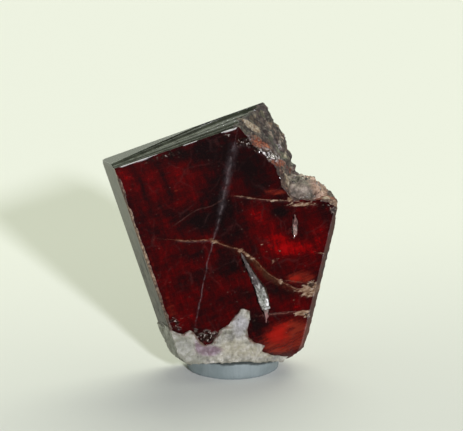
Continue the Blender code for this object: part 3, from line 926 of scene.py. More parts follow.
def tantaliteFinish():
    f = Finish("tantalite")
    at = f.tablet()

    def wavy(field, amount):
        return f.sum("MULTIPLY", f.sum("SUBTRACT", field, 0.5), amount)

    def total(*fields):
        whole = fields[0]
        for field in fields[1:]:
            whole = f.sum("ADD", whole, field)
        return whole

    wander = f.noise(at, 0.9, 5.0, 0.6)
    broad = f.noise(at, 0.33, 5.0, 0.62, 0.6)
    upright = f.noise(f.stretch(at, (2.4, 1.0, 0.45), (0.0, 4.0, 0.0)), 1.0, 5.0, 0.62)
    slanting = f.noise(f.stretch(at, (0.5, 1.0, 2.6), (0.0, 16.0, 0.0)), 1.0, 5.0, 0.62)
    fine = f.noise(at, 3.2, 4.0, 0.6)
    drift = f.add("ShaderNodeTexNoise")
    f.plug(drift.inputs["Vector"], at)
    f.plug(drift.inputs["Scale"], 0.35)
    warped = f.mix(0.8, at, drift.outputs["Color"], "LINEAR_LIGHT")
    flaws = f.cells(f.stretch(warped, (0.75, 1.0, 0.6), (0.0, 18.0, 0.0)), 1.0)["Distance"]
    glow = total(
        f.painted("redGlows"), wavy(broad, 0.95), wavy(upright, 0.75), wavy(slanting, 0.65), wavy(fine, 0.4),
        wavy(flaws, -0.30), 0.43,
    )
    glow = f.sum("SUBTRACT", glow, f.painted("darks"))
    red = f.ramp(
        glow,
        [(0.0, (0.0085, 0.003, 0.003)), (0.25, (0.022, 0.0022, 0.0025)), (0.5, (0.055, 0.0015, 0.0018)),
         (0.72, (0.105, 0.001, 0.0015)), (0.92, (0.27, 0.001, 0.0015)), (1.0, (0.36, 0.002, 0.003))],
    )
    warm = f.fade(total(f.painted("warmGlows"), wavy(slanting, 0.6), wavy(fine, 0.5)), 0.25, 0.95)
    ember = f.ramp(
        slanting, [(0.32, (0.09, 0.007, 0.005)), (0.5, (0.17, 0.015, 0.008)), (0.66, (0.26, 0.034, 0.015))],
    )
    emberShare = f.fade(
        total(f.painted("embers"), wavy(slanting, 0.9), wavy(fine, 0.5)), 0.15, 1.0, (0.0, 0.9),
    )
    ember = f.mix(emberShare, ember, (0.42, 0.011, 0.006))
    red = f.mix(f.sum("MULTIPLY", warm, 0.95), red, ember)
    # faint veils where old cracks have healed
    edges = f.cells(warped, 0.38, "DISTANCE_TO_EDGE")["Distance"]
    veil = f.sum("MULTIPLY", f.fade(edges, 0.04, 0.0), f.fade(f.noise(at, 0.6, 4.0), 0.42, 0.62))
    red = f.mix(f.sum("MULTIPLY", veil, 0.15), red, (0.13, 0.05, 0.045))
    scratch = f.noise(f.stretch(at, (0.7, 1.0, 12.0), (0.0, 22.0, 0.0)), 1.0, 4.0, 0.6)
    red = f.mix(f.fade(scratch, 0.60, 0.76, (0.0, 0.22)), red, (0.17, 0.075, 0.07))

    # the milky vein, hazy above and thin below
    split = f.add("ShaderNodeSeparateXYZ")
    f.plug(split.inputs[0], at)
    height = split.outputs["Z"]
    veinAway = f.sum("ABSOLUTE", total(f.painted("vein"), wavy(wander, 0.45)))
    haze = f.sum(
        "MULTIPLY", f.fade(veinAway, f.fade(height, -11.0, -5.0, (0.15, 0.70)), 0.0),
        f.fade(height, -14.0, -4.0, (0.22, 0.45)),
    )
    haze = f.sum("MULTIPLY", haze, f.fade(f.noise(at, 1.3, 4.0, 0.65), 0.30, 0.65))
    red = f.mix(haze, red, (0.105, 0.085, 0.090))
    heart = f.sum(
        "MULTIPLY", f.fade(veinAway, f.fade(height, -11.0, -5.0, (0.09, 0.21)), 0.0),
        f.fade(f.noise(at, 1.7, 4.0, 0.65), 0.38, 0.60),
    )
    red = f.mix(f.sum("MULTIPLY", heart, 0.6), red, (0.17, 0.14, 0.14))

    # cracks, cream with an orange skirt
    color = red
    crackWander = wavy(f.noise(at, 2.4, 4.0, 0.65), 0.36)
    patchy = f.fade(f.noise(at, 1.9, 3.0, 0.65), 0.36, 0.58)
    for name, width, strength, cream in (
        ("crackMain", 0.060, 0.80, (0.28, 0.16, 0.095)),
        ("crackSide", 0.040, 0.30, (0.30, 0.18, 0.12)),
        ("crackShort", 0.035, 0.40, (0.14, 0.09, 0.08)),
        ("crackUpper", 0.045, 0.75, (0.27, 0.17, 0.12)),
        ("crackLower", 0.045, 0.60, (0.26, 0.13, 0.10)),
    ):
        away = f.sum("ABSOLUTE", total(f.painted(name), crackWander))
        color = f.mix(
            f.sum("MULTIPLY", f.fade(away, width * 5.0, 0.0), 0.30 * strength), color, (0.12, 0.022, 0.007),
        )
        line = f.sum(
            "MULTIPLY", f.fade(away, width * 1.3, width * 0.4), f.fade(patchy, 0.0, 1.0, (0.25, 1.0)),
        )
        color = f.mix(f.sum("MULTIPLY", line, strength), color, cream)
    # a brown skirt under the main crack's lower half
    skirt = f.sum("ADD", f.painted("crackMain"), wavy(wander, 0.9))
    skirt = f.sum("MULTIPLY", f.fade(skirt, 0.75, 0.1), f.fade(skirt, -0.1, 0.05))
    skirt = f.sum("MULTIPLY", skirt, f.fade(height, -11.3, -13.0, (0.0, 0.6)))
    skirt = f.sum("MULTIPLY", skirt, f.fade(split.outputs["X"], 13.0, 10.8, (0.25, 1.0)))
    color = f.mix(skirt, color, f.ramp(fine, [(0.38, (0.030, 0.011, 0.005)), (0.6, (0.12, 0.055, 0.026))]))
    crumbly = f.noise(at, 3.0, 5.0, 0.7)
    fibres = f.noise(f.stretch(at, (1.6, 1.0, 4.5), (0.0, -24.0, 0.0)), 1.0, 5.0, 0.7)
    cream = f.fade(total(f.painted("creams"), wavy(fibres, 2.2), wavy(crumbly, 0.7)), 0.30, 0.72)
    creamColor = f.ramp(
        fibres, [(0.38, (0.10, 0.042, 0.020)), (0.5, (0.32, 0.19, 0.11)), (0.62, (0.60, 0.46, 0.33))],
    )
    color = f.mix(f.sum("MULTIPLY", cream, 0.85), color, creamColor)
    speck = f.sum(
        "MULTIPLY", f.fade(f.cells(at, 1.5)["Distance"], 0.07, 0.03),
        f.fade(f.noise(at, 0.8, 2.0), 0.52, 0.6),
    )
    color = f.mix(f.sum("MULTIPLY", speck, 0.5), color, (0.30, 0.22, 0.20))

    # pale left side, dark olive top
    dusty = f.noise(at, 0.8, 5.0, 0.65)
    sideColor = f.ramp(dusty, [(0.35, (0.036, 0.038, 0.014)), (0.6, (0.105, 0.105, 0.044))])
    sideLow = f.ramp(dusty, [(0.36, (0.026, 0.023, 0.012)), (0.62, (0.13, 0.115, 0.070))])
    sideColor = f.mix(f.fade(height, -4.0, -17.0, (0.0, 0.8)), sideColor, sideLow)
    frontRim = f.fade(total(split.outputs["Y"], wavy(crumbly, 3.0)), 1.5, 0.3, (0.0, 0.85))
    sideColor = f.mix(
        frontRim, sideColor, f.ramp(crumbly, [(0.36, (0.11, 0.065, 0.035)), (0.6, (0.36, 0.24, 0.16))]),
    )
    streaks = f.noise(f.stretch(at, (1.0, 0.9, 0.30)), 1.0, 6.0, 0.7)
    stain = f.sum("MULTIPLY", f.fade(streaks, 0.51, 0.59), f.fade(height, -6.0, -11.0, (0.1, 0.9)))
    sideColor = f.mix(f.sum("MULTIPLY", stain, 0.9), sideColor, (0.005, 0.009, 0.005))
    color = f.mix(f.sum("MULTIPLY", f.painted("side"), 0.9), color, sideColor)
    lid = f.ramp(dusty, [(0.35, (0.016, 0.020, 0.011)), (0.65, (0.060, 0.070, 0.045))])
    # painted reflection: the smooth back of the top painted paler
    lid = f.mix(f.painted("paintedLidReflection"), lid, (0.10, 0.11, 0.085))
    color = f.mix(f.painted("lid"), color, lid)
    # painted highlight: pale lines along the ledge edges
    paintedLedgeHighlights = f.sum(
        "MULTIPLY", f.painted("ledgeHighlight"), f.fade(f.noise(at, 1.1, 4.0, 0.65), 0.38, 0.60, (0.3, 1.0)),
    )
    color = f.mix(paintedLedgeHighlights, color, (0.36, 0.39, 0.31))

    # worn edges and chips: brown and cream, with painted glints as white specks on the chips and a painted
    # highlight along the top edge
    wornShare = f.fade(total(f.painted("worn"), wavy(crumbly, 1.6)), 0.40, 0.75)
    wornColor = f.ramp(
        crumbly,
        [(0.38, (0.028, 0.011, 0.006)), (0.5, (0.075, 0.040, 0.024)), (0.66, (0.19, 0.135, 0.095))],
    )
    paleWear = f.ramp(
        crumbly, [(0.38, (0.09, 0.042, 0.020)), (0.52, (0.27, 0.175, 0.105)), (0.66, (0.46, 0.35, 0.24))],
    )
    bevelWear = f.ramp(
        crumbly, [(0.38, (0.010, 0.003, 0.002)), (0.52, (0.034, 0.011, 0.007)), (0.66, (0.13, 0.07, 0.05))],
    )
    wornColor = f.mix(f.painted("onBevel"), wornColor, bevelWear)
    wornColor = f.mix(f.fade(total(f.painted("paleWear"), wavy(crumbly, 0.8)), 0.3, 0.8), wornColor, paleWear)
    color = f.mix(f.sum("MULTIPLY", f.painted("onBevel"), 0.8), color, (0.055, 0.022, 0.009))
    color = f.mix(wornShare, color, wornColor)
    sparkly = f.noise(at, 3.4, 2.0, 0.6)
    # the chips are dark, and the palest stop paints glints on them
    chipColorAndGlints = f.ramp(
        sparkly,
        [
            (0.42, (0.006, 0.003, 0.002)), (0.54, (0.030, 0.016, 0.011)), (0.60, (0.10, 0.07, 0.055)),
            (0.65, (0.60, 0.55, 0.50)),
        ],
    )
    color = f.mix(f.sum("MULTIPLY", f.painted("chipped"), 0.85), color, chipColorAndGlints)
    # painted highlight along the front edge at the top, made rough
    color = f.mix(
        f.fade(total(f.painted("paintedEdgeHighlight"), wavy(crumbly, 0.6)), 0.3, 0.7), color, (0.72, 0.72, 0.68),
    )

    # the broken corner: grey, brown and olive
    grit = f.noise(at, 1.5, 7.0, 0.72, 0.4)
    earth = f.ramp(
        grit,
        [(0.36, (0.014, 0.010, 0.007)), (0.45, (0.070, 0.046, 0.033)), (0.53, (0.17, 0.125, 0.092)),
         (0.60, (0.32, 0.255, 0.195)), (0.70, (0.60, 0.52, 0.42))],
    )
    patches = f.cells(f.mix(0.35, at, drift.outputs["Color"], "LINEAR_LIGHT"), 1.25)["Color"]
    stony = f.ramp(
        patches,
        [(0.22, (0.035, 0.022, 0.015)), (0.38, (0.13, 0.080, 0.056)), (0.52, (0.23, 0.215, 0.155)),
         (0.64, (0.34, 0.24, 0.185)), (0.80, (0.56, 0.46, 0.35))],
    )
    earth = f.mix(0.2, f.mix(0.5, earth, stony), patches, "SOFT_LIGHT")
    earth = f.mix(f.fade(height, -4.0, -1.5, (0.0, 0.75)), earth, f.mix(0.8, earth, (0.022, 0.020, 0.014)))
    splits = f.cells(
        f.stretch(warped, (1.4, 0.8, 0.6), (0.0, -38.0, 0.0)), 1.2, "DISTANCE_TO_EDGE",
    )["Distance"]
    earth = f.mix(f.fade(splits, 0.13, 0.02, (0.0, 0.8)), earth, (0.012, 0.008, 0.006))
    ragged = wavy(f.noise(at, 1.3, 5.0, 0.75), 2.4)
    glassy = f.ramp(
        crumbly, [(0.38, (0.020, 0.008, 0.005)), (0.52, (0.11, 0.050, 0.030)), (0.66, (0.34, 0.20, 0.13))],
    )
    earth = f.mix(f.sum("MULTIPLY", f.painted("glassy"), 0.75), earth, glassy)
    # painted shade in the sunken creases between facets
    earth = f.mix(f.sum("MULTIPLY", f.painted("creaseAndPaintedShade"), 0.6), earth, (0.014, 0.008, 0.006))
    rustShare = f.fade(total(f.painted("rust"), ragged), 0.25, 0.85)
    rust = f.ramp(
        crumbly, [(0.36, (0.035, 0.009, 0.004)), (0.5, (0.20, 0.038, 0.012)), (0.64, (0.42, 0.13, 0.045))],
    )
    earth = f.mix(f.sum("MULTIPLY", rustShare, 0.9), earth, rust)
    paleShare = f.fade(total(f.painted("paleBreak"), ragged), 0.35, 0.75)
    pale = f.ramp(
        crumbly, [(0.35, (0.16, 0.10, 0.055)), (0.5, (0.34, 0.27, 0.18)), (0.62, (0.55, 0.49, 0.39))],
    )
    earth = f.mix(f.sum("MULTIPLY", paleShare, 0.9), earth, pale)
    earth = f.mix(f.sum("MULTIPLY", f.painted("sparkle"), 0.9, clamp=True), earth, (0.022, 0.009, 0.008))
    # painted glints: white specks where the sparkle marks are
    earth = f.mix(
        f.sum("MULTIPLY", f.painted("sparkle"), f.fade(sparkly, 0.53, 0.57), clamp=True), earth,
        (0.80, 0.74, 0.74),
    )
    broken = f.fade(f.painted("broken"), 0.35, 0.65)
    color = f.mix(broken, color, earth)
    f.set(Base_Color=color)

    dull = f.sum(
        "MAXIMUM", f.sum("MAXIMUM", broken, f.sum("MULTIPLY", wornShare, 0.9)), f.painted("onBevel"),
        clamp=True,
    )
    glossy = f.fade(f.noise(at, 2.6, 2.0), 0.36, 0.48, (0.6, 0.95))
    roughness = f.mix(dull, (0.10, 0.10, 0.10), glossy)
    glintSpots = f.fade(total(f.painted("sparkle"), wavy(sparkly, 1.2)), 0.4, 0.8)
    roughness = f.mix(glintSpots, roughness, (0.14, 0.14, 0.14))
    sideRough = f.sum("MAXIMUM", f.fade(height, -3.0, -17.0, (0.46, 0.56)), stain)
    roughness = f.mix(f.sum("MULTIPLY", f.painted("side"), 0.9), roughness, sideRough)
    rubbed = f.sum("MAXIMUM", f.sum("MAXIMUM", wornShare, f.painted("paintedEdgeHighlight")), f.painted("onBevel"))
    roughness = f.mix(rubbed, roughness, (0.9, 0.9, 0.9))
    deepBump = f.bump(f.noise(at, 4.0, 6.0, 0.7), 0.00012, 0.8)
    plain = f.bump(f.noise(at, 1.2, 3.0, 0.5), 0.00001, 0.25)
    uneven = f.bump(total(streaks, wavy(f.noise(at, 1.6, 4.0, 0.6), 0.8)), 0.00035, 0.8)
    plain = f.mix(
        f.sum("MULTIPLY", f.painted("side"), f.fade(height, -5.0, -10.0, (0.15, 1.0))), plain, uneven,
    )
    normal = f.mix(broken, plain, deepBump)
    ridges = f.noise(f.stretch(at, (0.12, 6.0, 0.12)), 1.0, 3.0, 0.6)
    ridged = f.sum("SUBTRACT", f.painted("lid"), f.painted("paintedLidReflection"), clamp=True)
    normal = f.mix(ridged, normal, f.bump(ridges, 0.00005, 0.5))
    f.set(
        Roughness=roughness, Normal=normal,
        Transmission_Weight=f.fade(dull, 0.0, 1.0, (0.30, 0.04)), IOR=1.65,
    )
    fog = f.add("ShaderNodeVolumeAbsorption")
    fog.inputs["Color"].default_value = (0.75, 0.03, 0.03, 1.0)
    fog.inputs["Density"].default_value = 300.0
    f.tree.links.new(fog.outputs[0], f.tree.nodes["Material Output"].inputs["Volume"])
    return f.material


breakGrains = {"Density": 3.0, "Smallest": 0.06, "Largest": 0.24, "Flatness": 0.8, "Tumble": 1.0, "Seed": 5}


def makeBreakGrains(stone, points, finish):
    share = np.empty(len(points))
    stone.data.attributes["broken"].data.foreach_get("value", share)
    carrier = stone.data.copy()
    carrier.transform(tabletAxes.inverted())
    carried = newObject("carrier", carrier)
    made = makeGrains(
        "tantaliteGrains", carried, between(share, 0.5, 0.9) * between(noiseAt(points, 0.9, 21), -0.2, 0.3),
        breakGrains, finish, ["tantalite_crystal"],
    )
    bpy.data.objects.remove(carried)
    return made


# The albite foot.

foot = {
    "front": (
        (-0.10, -16.6), (0.40, -17.2), (0.97, -17.7), (1.80, -17.6), (2.18, -18.2), (2.25, -18.9),
        (2.76, -19.5), (3.50, -19.6), (4.05, -19.1), (4.50, -18.75), (5.50, -18.4), (6.45, -17.9),
        (7.36, -17.4), (8.15, -17.9), (7.60, -18.9), (6.90, -20.1), (7.26, -20.85), (8.35, -21.7),
        (7.75, -22.1), (8.50, -22.7), (10.2, -23.6), (9.50, -23.9), (7.44, -23.1), (5.40, -22.2),
        (2.74, -21.4), (0.80, -20.8), (-0.02, -19.8),
    ),
    "back": (
        (-0.08, -17.2), (1.60, -16.9), (2.90, -17.7), (4.30, -16.2), (5.60, -15.6), (6.70, -16.9),
        (8.10, -17.6), (8.60, -19.4), (9.90, -20.6), (10.9, -22.4), (9.60, -23.6), (7.30, -22.9),
        (5.20, -22.2), (2.90, -21.5), (1.10, -20.9), (0.02, -19.9),
    ),
    "frontSpan": (-0.14, 3.5),
    "backSpan": (3.1, 6.55),
    "seatReach": 0.55,
    "seatGrains": (0.22, 0.2),
    "seatGap": 0.08,
    "grain": 0.10,
    "roughness": 0.20,
    "lumps": 1.9,
    "violet": (
        (2.7, -19.95, 1.1, 0.62, -25, 1.1), (3.5, -20.3, 0.7, 0.4, -15, 0.7),
        (2.0, -19.0, 0.3, 0.8, 0, 0.6),
    ),
    "cream": (
        (4.9, -20.4, 1.4, 0.8, -10, 1.0), (6.4, -21.6, 1.6, 0.7, -15, 0.9),
        (8.3, -22.5, 1.2, 0.5, -20, 0.9),
    ),
    "blue": ((6.9, -18.6, 0.7, 1.2, 30, 1.0), (6.1, -19.4, 0.7, 0.9, 20, 0.6)),
    "brown": (
        (7.3, -20.7, 0.45, 0.35, -30, 1.0), (5.3, -18.6, 0.8, 0.2, -15, 0.7),
        (1.2, -17.8, 0.7, 0.2, 0, 0.6),
    ),
    "grey": ((0.5, -18.8, 1.3, 1.8, 0, 1.0), (1.6, -20.7, 1.2, 0.6, 0, 0.7)),
}
albiteGrains = {"Density": 1.2, "Smallest": 0.06, "Largest": 0.22, "Flatness": 0.7, "Tumble": 1.0, "Seed": 3}


def footSolid(grain, reach=0.0):
    # reach moves the left side out, for the room that the crystal leaves
    def outline(name):
        return [(x - reach if x < 0.1 else x, z) for x, z in foot[name]]

    whole = combine(
        outlineSolid("footFront", outline("front"), *foot["frontSpan"]),
        outlineSolid("footBack", outline("back"), *foot["backSpan"]),
        "UNION",
    )
    evenOut(whole, grain)
    roughen(whole, foot["roughness"], foot["lumps"], 4)
    return whole


def footSeat(reach=0.0):
    # the foot a little smaller, which the crystal makes room for
    coarse, fine = foot["seatGrains"]
    seat = footSolid(coarse, reach)
    setPoints(seat, pointsOf(seat) - normalsOf(seat) * foot["seatGap"])
    return evenOut(seat, fine)


def makeFoot(finish, grainFinishes):
    lump = footSolid(foot["grain"])
    lump.name = "albiteFoot"
    points, normals = pointsOf(lump), normalsOf(lump)
    sugar = 0.05 * noiseAt(points, 0.6, 5) - 0.09 * facetsAt(points, 0.8, 6) + 0.02 * noiseAt(points, 0.2, 7)
    points += normals * sugar[:, None]
    setPoints(lump, points)
    for name in ("violet", "cream", "blue", "brown", "grey"):
        paint(lump, name, spots(points, foot[name]))
    rim = fromLine(points, foot["front"][:20])
    paint(lump, "rim", np.abs(rim) + np.maximum(points[:, 1] - 0.4, 0.0))
    makeGrains(
        "albiteGrains", lump, between(
            noiseAt(points, 0.8, 22), -0.1, 0.35,
        ) * between(points[:, 2], -23.5, -22.6),
        albiteGrains, grainFinishes, ["albite_foot"],
    )
    return finishPiece(lump, finish, ["albite_foot"])


def albiteFinish():
    f = Finish("albite")
    at = f.tablet()
    cloudy = f.noise(at, 1.1, 6.0, 0.68)
    color = f.ramp(
        cloudy, [(0.34, (0.11, 0.105, 0.08)), (0.5, (0.26, 0.25, 0.20)), (0.66, (0.48, 0.46, 0.39))],
    )
    for name, tint, strength in (
        ("grey", (0.205, 0.21, 0.165), 0.75),
        ("cream", (0.33, 0.305, 0.215), 0.65),
        ("blue", (0.29, 0.28, 0.29), 0.8),
        ("violet", (0.17, 0.105, 0.135), 0.9),
        ("brown", (0.14, 0.065, 0.030), 0.7),
    ):
        share = f.fade(
            f.sum("ADD", f.painted(name), f.sum("MULTIPLY", f.sum("SUBTRACT", cloudy, 0.5), 1.1)), 0.2, 0.9,
        )
        color = f.mix(f.sum("MULTIPLY", share, strength), color, tint)
    mottle = f.noise(at, 3.5, 4.0, 0.7)
    color = f.mix(f.fade(mottle, 0.55, 0.35, (0.0, 0.35)), color, (0.09, 0.08, 0.06))
    rim = f.sum("MULTIPLY", f.fade(f.painted("rim"), 0.26, 0.05), f.fade(f.noise(at, 2.0, 3.0), 0.38, 0.6))
    color = f.mix(f.sum("MULTIPLY", rim, 0.85), color, (0.10, 0.05, 0.03))
    f.set(
        Base_Color=color, Roughness=f.fade(cloudy, 0.3, 0.7, (0.5, 0.3)), IOR=1.53,
        Subsurface_Weight=0.2, Subsurface_Radius=(0.0008, 0.0007, 0.0006), Subsurface_Scale=1.0,
        Normal=f.bump(f.noise(at, 5.0, 6.0, 0.65), 0.00008, 0.7),
    )
    return f.material


# The crust on the shoulder.

crust = {
    "centre": (17.40, 2.8, -9.00),
    "halfSize": (2.45, 2.50, 1.30),
    "tilt": 28.0,
    "grain": 0.10,
    "roughness": 0.30,
    "lumps": 1.5,
    "swell": 0.16,  # brings the lump up against the crystal
}
crustGrains = {"Density": 9.0, "Smallest": 0.08, "Largest": 0.28, "Flatness": 0.75, "Tumble": 1.0, "Seed": 8}


def makeCrust(finish, grainFinishes):
    bm = bmesh.new()
    bmesh.ops.create_icosphere(bm, subdivisions=3, radius=1.0)
    bm.transform(
        Matrix.Translation(crust["centre"]) @ Matrix.Rotation(math.radians(crust["tilt"]), 4, "Y")
        @ Matrix.Diagonal((*crust["halfSize"], 1.0))
    )
    lump = evenOut(newObject("shoulderCrust", meshFrom(bm, "shoulderCrust")), crust["grain"])
    roughen(lump, crust["roughness"], crust["lumps"], 9)
    points, normals = pointsOf(lump), normalsOf(lump)
    relief = 0.14 * noiseAt(points, 0.7, 5) - 0.26 * facetsAt(points, 0.9, 8) + 0.06 * noiseAt(
        points, 0.25, 7,
    )
    points += normals * (relief + crust["swell"])[:, None]
    setPoints(lump, points)
    # the crust's right end: pinker, and painted lighter
    paint(lump, "rightEndPinkAndPaintedLight", between(points[:, 0] + 0.5 * noiseAt(points, 0.8, 26), 17.4, 18.7))
    makeGrains(
        "crustGrains", lump, between(noiseAt(points, 0.9, 23), -0.2, 0.3), crustGrains, grainFinishes,
        ["shoulder_crust"],
    )
    return finishPiece(lump, finish, ["shoulder_crust"])


def crustFinish():
    f = Finish("matrixCrust")
    at = f.tablet()
    grit = f.noise(at, 1.0, 7.0, 0.7, 0.3)
    color = f.ramp(
        grit,
        [(0.35, (0.028, 0.022, 0.016)), (0.45, (0.105, 0.085, 0.065)), (0.56, (0.235, 0.185, 0.15)),
         (0.68, (0.46, 0.39, 0.32))],
    )
    patch = f.noise(at, 0.7, 3.0)
    color = f.mix(f.fade(patch, 0.52, 0.66, (0.0, 0.5)), color, (0.19, 0.13, 0.14))
    color = f.mix(f.fade(patch, 0.48, 0.36, (0.0, 0.45)), color, (0.15, 0.14, 0.10))
    # pinker at the right end, and painted lighter there where it turns away from the light
    color = f.mix(
        f.sum("MULTIPLY", f.painted("rightEndPinkAndPaintedLight"), 0.8), color,
        f.ramp(grit, [(0.35, (0.10, 0.05, 0.032)), (0.5, (0.40, 0.25, 0.17)), (0.62, (0.70, 0.50, 0.38))]),
    )
    f.set(
        Base_Color=color, Roughness=0.6, IOR=1.5,
        Normal=f.bump(f.noise(at, 5.0, 6.0, 0.7), 0.00010, 0.8),
    )
    return f.material


# The mica blades.

micaBlades = {
    # points down each blade's middle: x, z and half the width there
    "long": {
        "spine": (
            (9.02, -11.9, 0.05), (9.12, -12.9, 0.14), (
                9.30, -13.85, 0.18,
            ), (9.41, -14.6, 0.25), (9.49, -15.2, 0.34),
            (9.72, -16.3, 0.48), (9.66, -17.3, 0.54), (
                9.64, -18.15, 0.42,
            ), (9.53, -18.7, 0.2), (9.35, -19.2, 0.10),
            (9.15, -19.7, 0.05),
        ),
        "depth": 0.85,
        # where white glints are painted on the blade: place, half sizes, turn, strength
        "glintSpots": ((9.98, -17.7, 0.17, 0.45, -12, 1.3), (9.40, -14.8, 0.20, 0.18, 0, 0.5)),
        "pink": 0.0,
    },
    "short": {
        "spine": (
            (
                15.35, -10.4, 0.03,
            ), (15.25, -10.9, 0.13), (15.1, -11.4, 0.22), (14.9, -11.9, 0.25), (14.7, -12.3, 0.14),
            (14.55, -12.6, 0.04),
        ),
        "depth": 0.55,
        "glintSpots": ((15.0, -11.8, 0.18, 0.35, 0, 0.4),),
        "pink": 0.7,
    },
}
bladeShape = {"proud": 0.10, "grain": 0.05}
micaPlates = {"Density": 9.0, "Smallest": 0.12, "Largest": 0.36, "Flatness": 0.16, "Tumble": 0.12, "Seed": 2}


def bladeOutline(blade, grow=0.0):
    # down one side of the spine and up the other
    spine = [Vector(point[:2]) for point in blade["spine"]]
    sides = ([], [])
    for i in range(1, len(spine) - 1):
        along = (spine[i + 1] - spine[i - 1]).normalized()
        across = Vector((-along.y, along.x)) * (blade["spine"][i][2] + grow)
        sides[0].append(tuple(spine[i] + across))
        sides[1].append(tuple(spine[i] - across))
    top = spine[0] + (spine[0] - spine[1]).normalized() * grow
    tip = spine[-1] + (spine[-1] - spine[-2]).normalized() * grow
    return [tuple(top), *sides[0], tuple(tip), *reversed(sides[1])]


def makeBlade(name, finish, plateFinish):
    blade = micaBlades[name]
    body = outlineSolid("micaBlade" + name.title(), bladeOutline(blade), -bladeShape["proud"], blade["depth"])
    evenOut(body, bladeShape["grain"])
    points, normals = pointsOf(body), normalsOf(body)
    flakes = 0.10 * np.round(3.0 * noiseAt(points * (1.0, 0.2, 0.6), 0.45, 3)) / 3.0
    rim = 0.16 * noiseAt(points, 0.35, 9) * between(np.abs(normals[:, 1]), 0.9, 0.4)
    points += normals * (flakes + rim - 0.03)[:, None]
    setPoints(body, points)
    across, heights, halves = zip(*blade["spine"])
    along = (heights[0] - points[:, 2]) / (heights[0] - heights[-1])
    half = np.interp(-points[:, 2], [-h for h in heights], halves)
    heart = 1.0 - np.abs(fromLine(points, list(zip(across, heights)))) / half
    paint(body, "along", along)
    paint(body, "heart", heart)
    paint(body, "glintSpots", spots(points, blade["glintSpots"]))
    paint(body, "pink", np.full(len(points), blade["pink"]))
    flaky = between(-normals[:, 1], 0.7, 0.95) * between(heart, 0.1, 0.5) * between(along, 0.45, 0.6)
    makeGrains(
        "micaPlates" + name.title(), body, flaky * between(along, 0.85, 0.78), micaPlates, plateFinish,
        ["mica_blade_" + name],
    )
    return finishPiece(body, finish, ["mica_blade_" + name])


def micaFinish():
    f = Finish("mica")
    at = f.tablet()
    mottle = f.noise(f.stretch(at, (1.6, 1.0, 0.9)), 2.2, 6.0, 0.75)
    color = f.ramp(
        mottle,
        [
            (0.38, (0.040, 0.042, 0.032)), (0.46, (0.14, 0.15, 0.125)), (0.54, (0.28, 0.285, 0.25)),
            (0.66, (0.50, 0.50, 0.47)),
        ],
    )

    def wavy(amount):
        return f.sum("MULTIPLY", f.sum("SUBTRACT", mottle, 0.5), amount)

    color = f.mix(
        f.fade(f.sum("ADD", f.painted("heart"), wavy(2.4)), 0.40, 0.05, (0.0, 0.8)), color,
        (0.075, 0.035, 0.028),
    )
    upper = f.fade(f.sum("ADD", f.painted("along"), wavy(0.5)), 0.60, 0.48)
    color = f.mix(
        f.sum("MULTIPLY", upper, 0.9), color,
        f.ramp(mottle, [(0.4, (0.018, 0.012, 0.012)), (0.6, (0.10, 0.072, 0.070))]),
    )
    color = f.mix(f.fade(f.painted("along"), 0.80, 0.90, (0.0, 0.85)), color, (0.20, 0.075, 0.07))
    color = f.mix(
        f.painted("pink"), color, f.ramp(mottle, [(0.4, (0.06, 0.018, 0.016)), (0.6, (0.34, 0.17, 0.14))]),
    )
    # painted glints: white where the glint spots are, which are also made glossier
    color = f.mix(f.fade(f.sum("ADD", f.painted("glintSpots"), wavy(1.6)), 0.4, 0.8), color, (0.80, 0.79, 0.77))
    f.set(
        Base_Color=color, Roughness=f.fade(f.painted("glintSpots"), 0.3, 0.9, (0.85, 0.45)), IOR=1.5,
        Normal=f.bump(f.noise(at, 5.0, 5.0, 0.65), 0.00008, 0.6),
    )
    return f.material


# The putty.

putty = {
    "halfSize": (4.65, 4.65, 1.50),
    "middle": (1.042, 0.013, 0.85),
    "squareness": 0.55,
    "rings": 48,
    "segments": 144,
    "dents": 0.034,
    "dentCount": 1.8,
    "dentsFrom": (3.0, 8.0, 1.0),
    "grain": 0.12,
    "jointGrooveAndPaintedShadow": (0.42, 0.30),  # the groove, painted dark as a contact shadow, starts and is full this far from the specimen
    "jointDepth": 0.10,
}


def treeOf(obj):
    return BVHTree.FromPolygons([v.co for v in obj.data.vertices], [p.vertices[:] for p in obj.data.polygons])


def makePutty(finish):
    bm = bmesh.new()
    bmesh.ops.create_uvsphere(bm, u_segments=putty["segments"], v_segments=putty["rings"], radius=1.0)
    for v in bm.verts:
        ring = max(math.hypot(v.co.x, v.co.y), 1e-6)
        v.co.xy *= ring ** (putty["squareness"] - 1.0)
        v.co.z = math.copysign(abs(v.co.z) ** putty["squareness"], v.co.z)
        v.co *= 1.0 + putty["dents"] * noise.noise(v.co * putty["dentCount"] + Vector(putty["dentsFrom"]))
    bm.transform(Matrix.Translation(putty["middle"]) @ Matrix.Diagonal((*putty["halfSize"], 1.0)))
    trim(bm, (0.0, 0.0, 0.0), (0.0, 0.0, -1.0))
    ball = newObject("puttyMount", meshFrom(bm, "puttyMount"))
    seat = footSeat()
    seat.data.transform(Matrix.Scale(1000.0, 4) @ tabletAxes)
    pressed = [treeOf(seat)]
    combine(ball, seat, "DIFFERENCE")
    bm = block((0.0, 0.0, -crystal["size"][2]), crystal["size"][:2] + (0.0,))
    for point, outward in crystal["faces"].values():
        trim(bm, point, outward)
    bm.transform(Matrix.Scale(1000.0, 4) @ tabletAxes)
    stonePrint = newObject("print", meshFrom(bm, "print"))
    pressed.append(treeOf(stonePrint))
    combine(ball, stonePrint, "DIFFERENCE")
    evenOut(ball, putty["grain"])
    keepLargest(ball)
    points, normals = pointsOf(ball), normalsOf(ball)
    away = np.array([min(tree.find_nearest(p)[3] for tree in pressed) for p in points.tolist()])
    jointGrooveAndPaintedShadow = between(away, *putty["jointGrooveAndPaintedShadow"])
    setPoints(ball, points - normals * (putty["jointDepth"] * jointGrooveAndPaintedShadow)[:, None])
    paint(ball, "jointGrooveAndPaintedShadow", jointGrooveAndPaintedShadow)
    ball.data.transform(Matrix.Scale(mm, 4))
    return finishPiece(ball, finish, ["putty_mount"], inTablet=False)


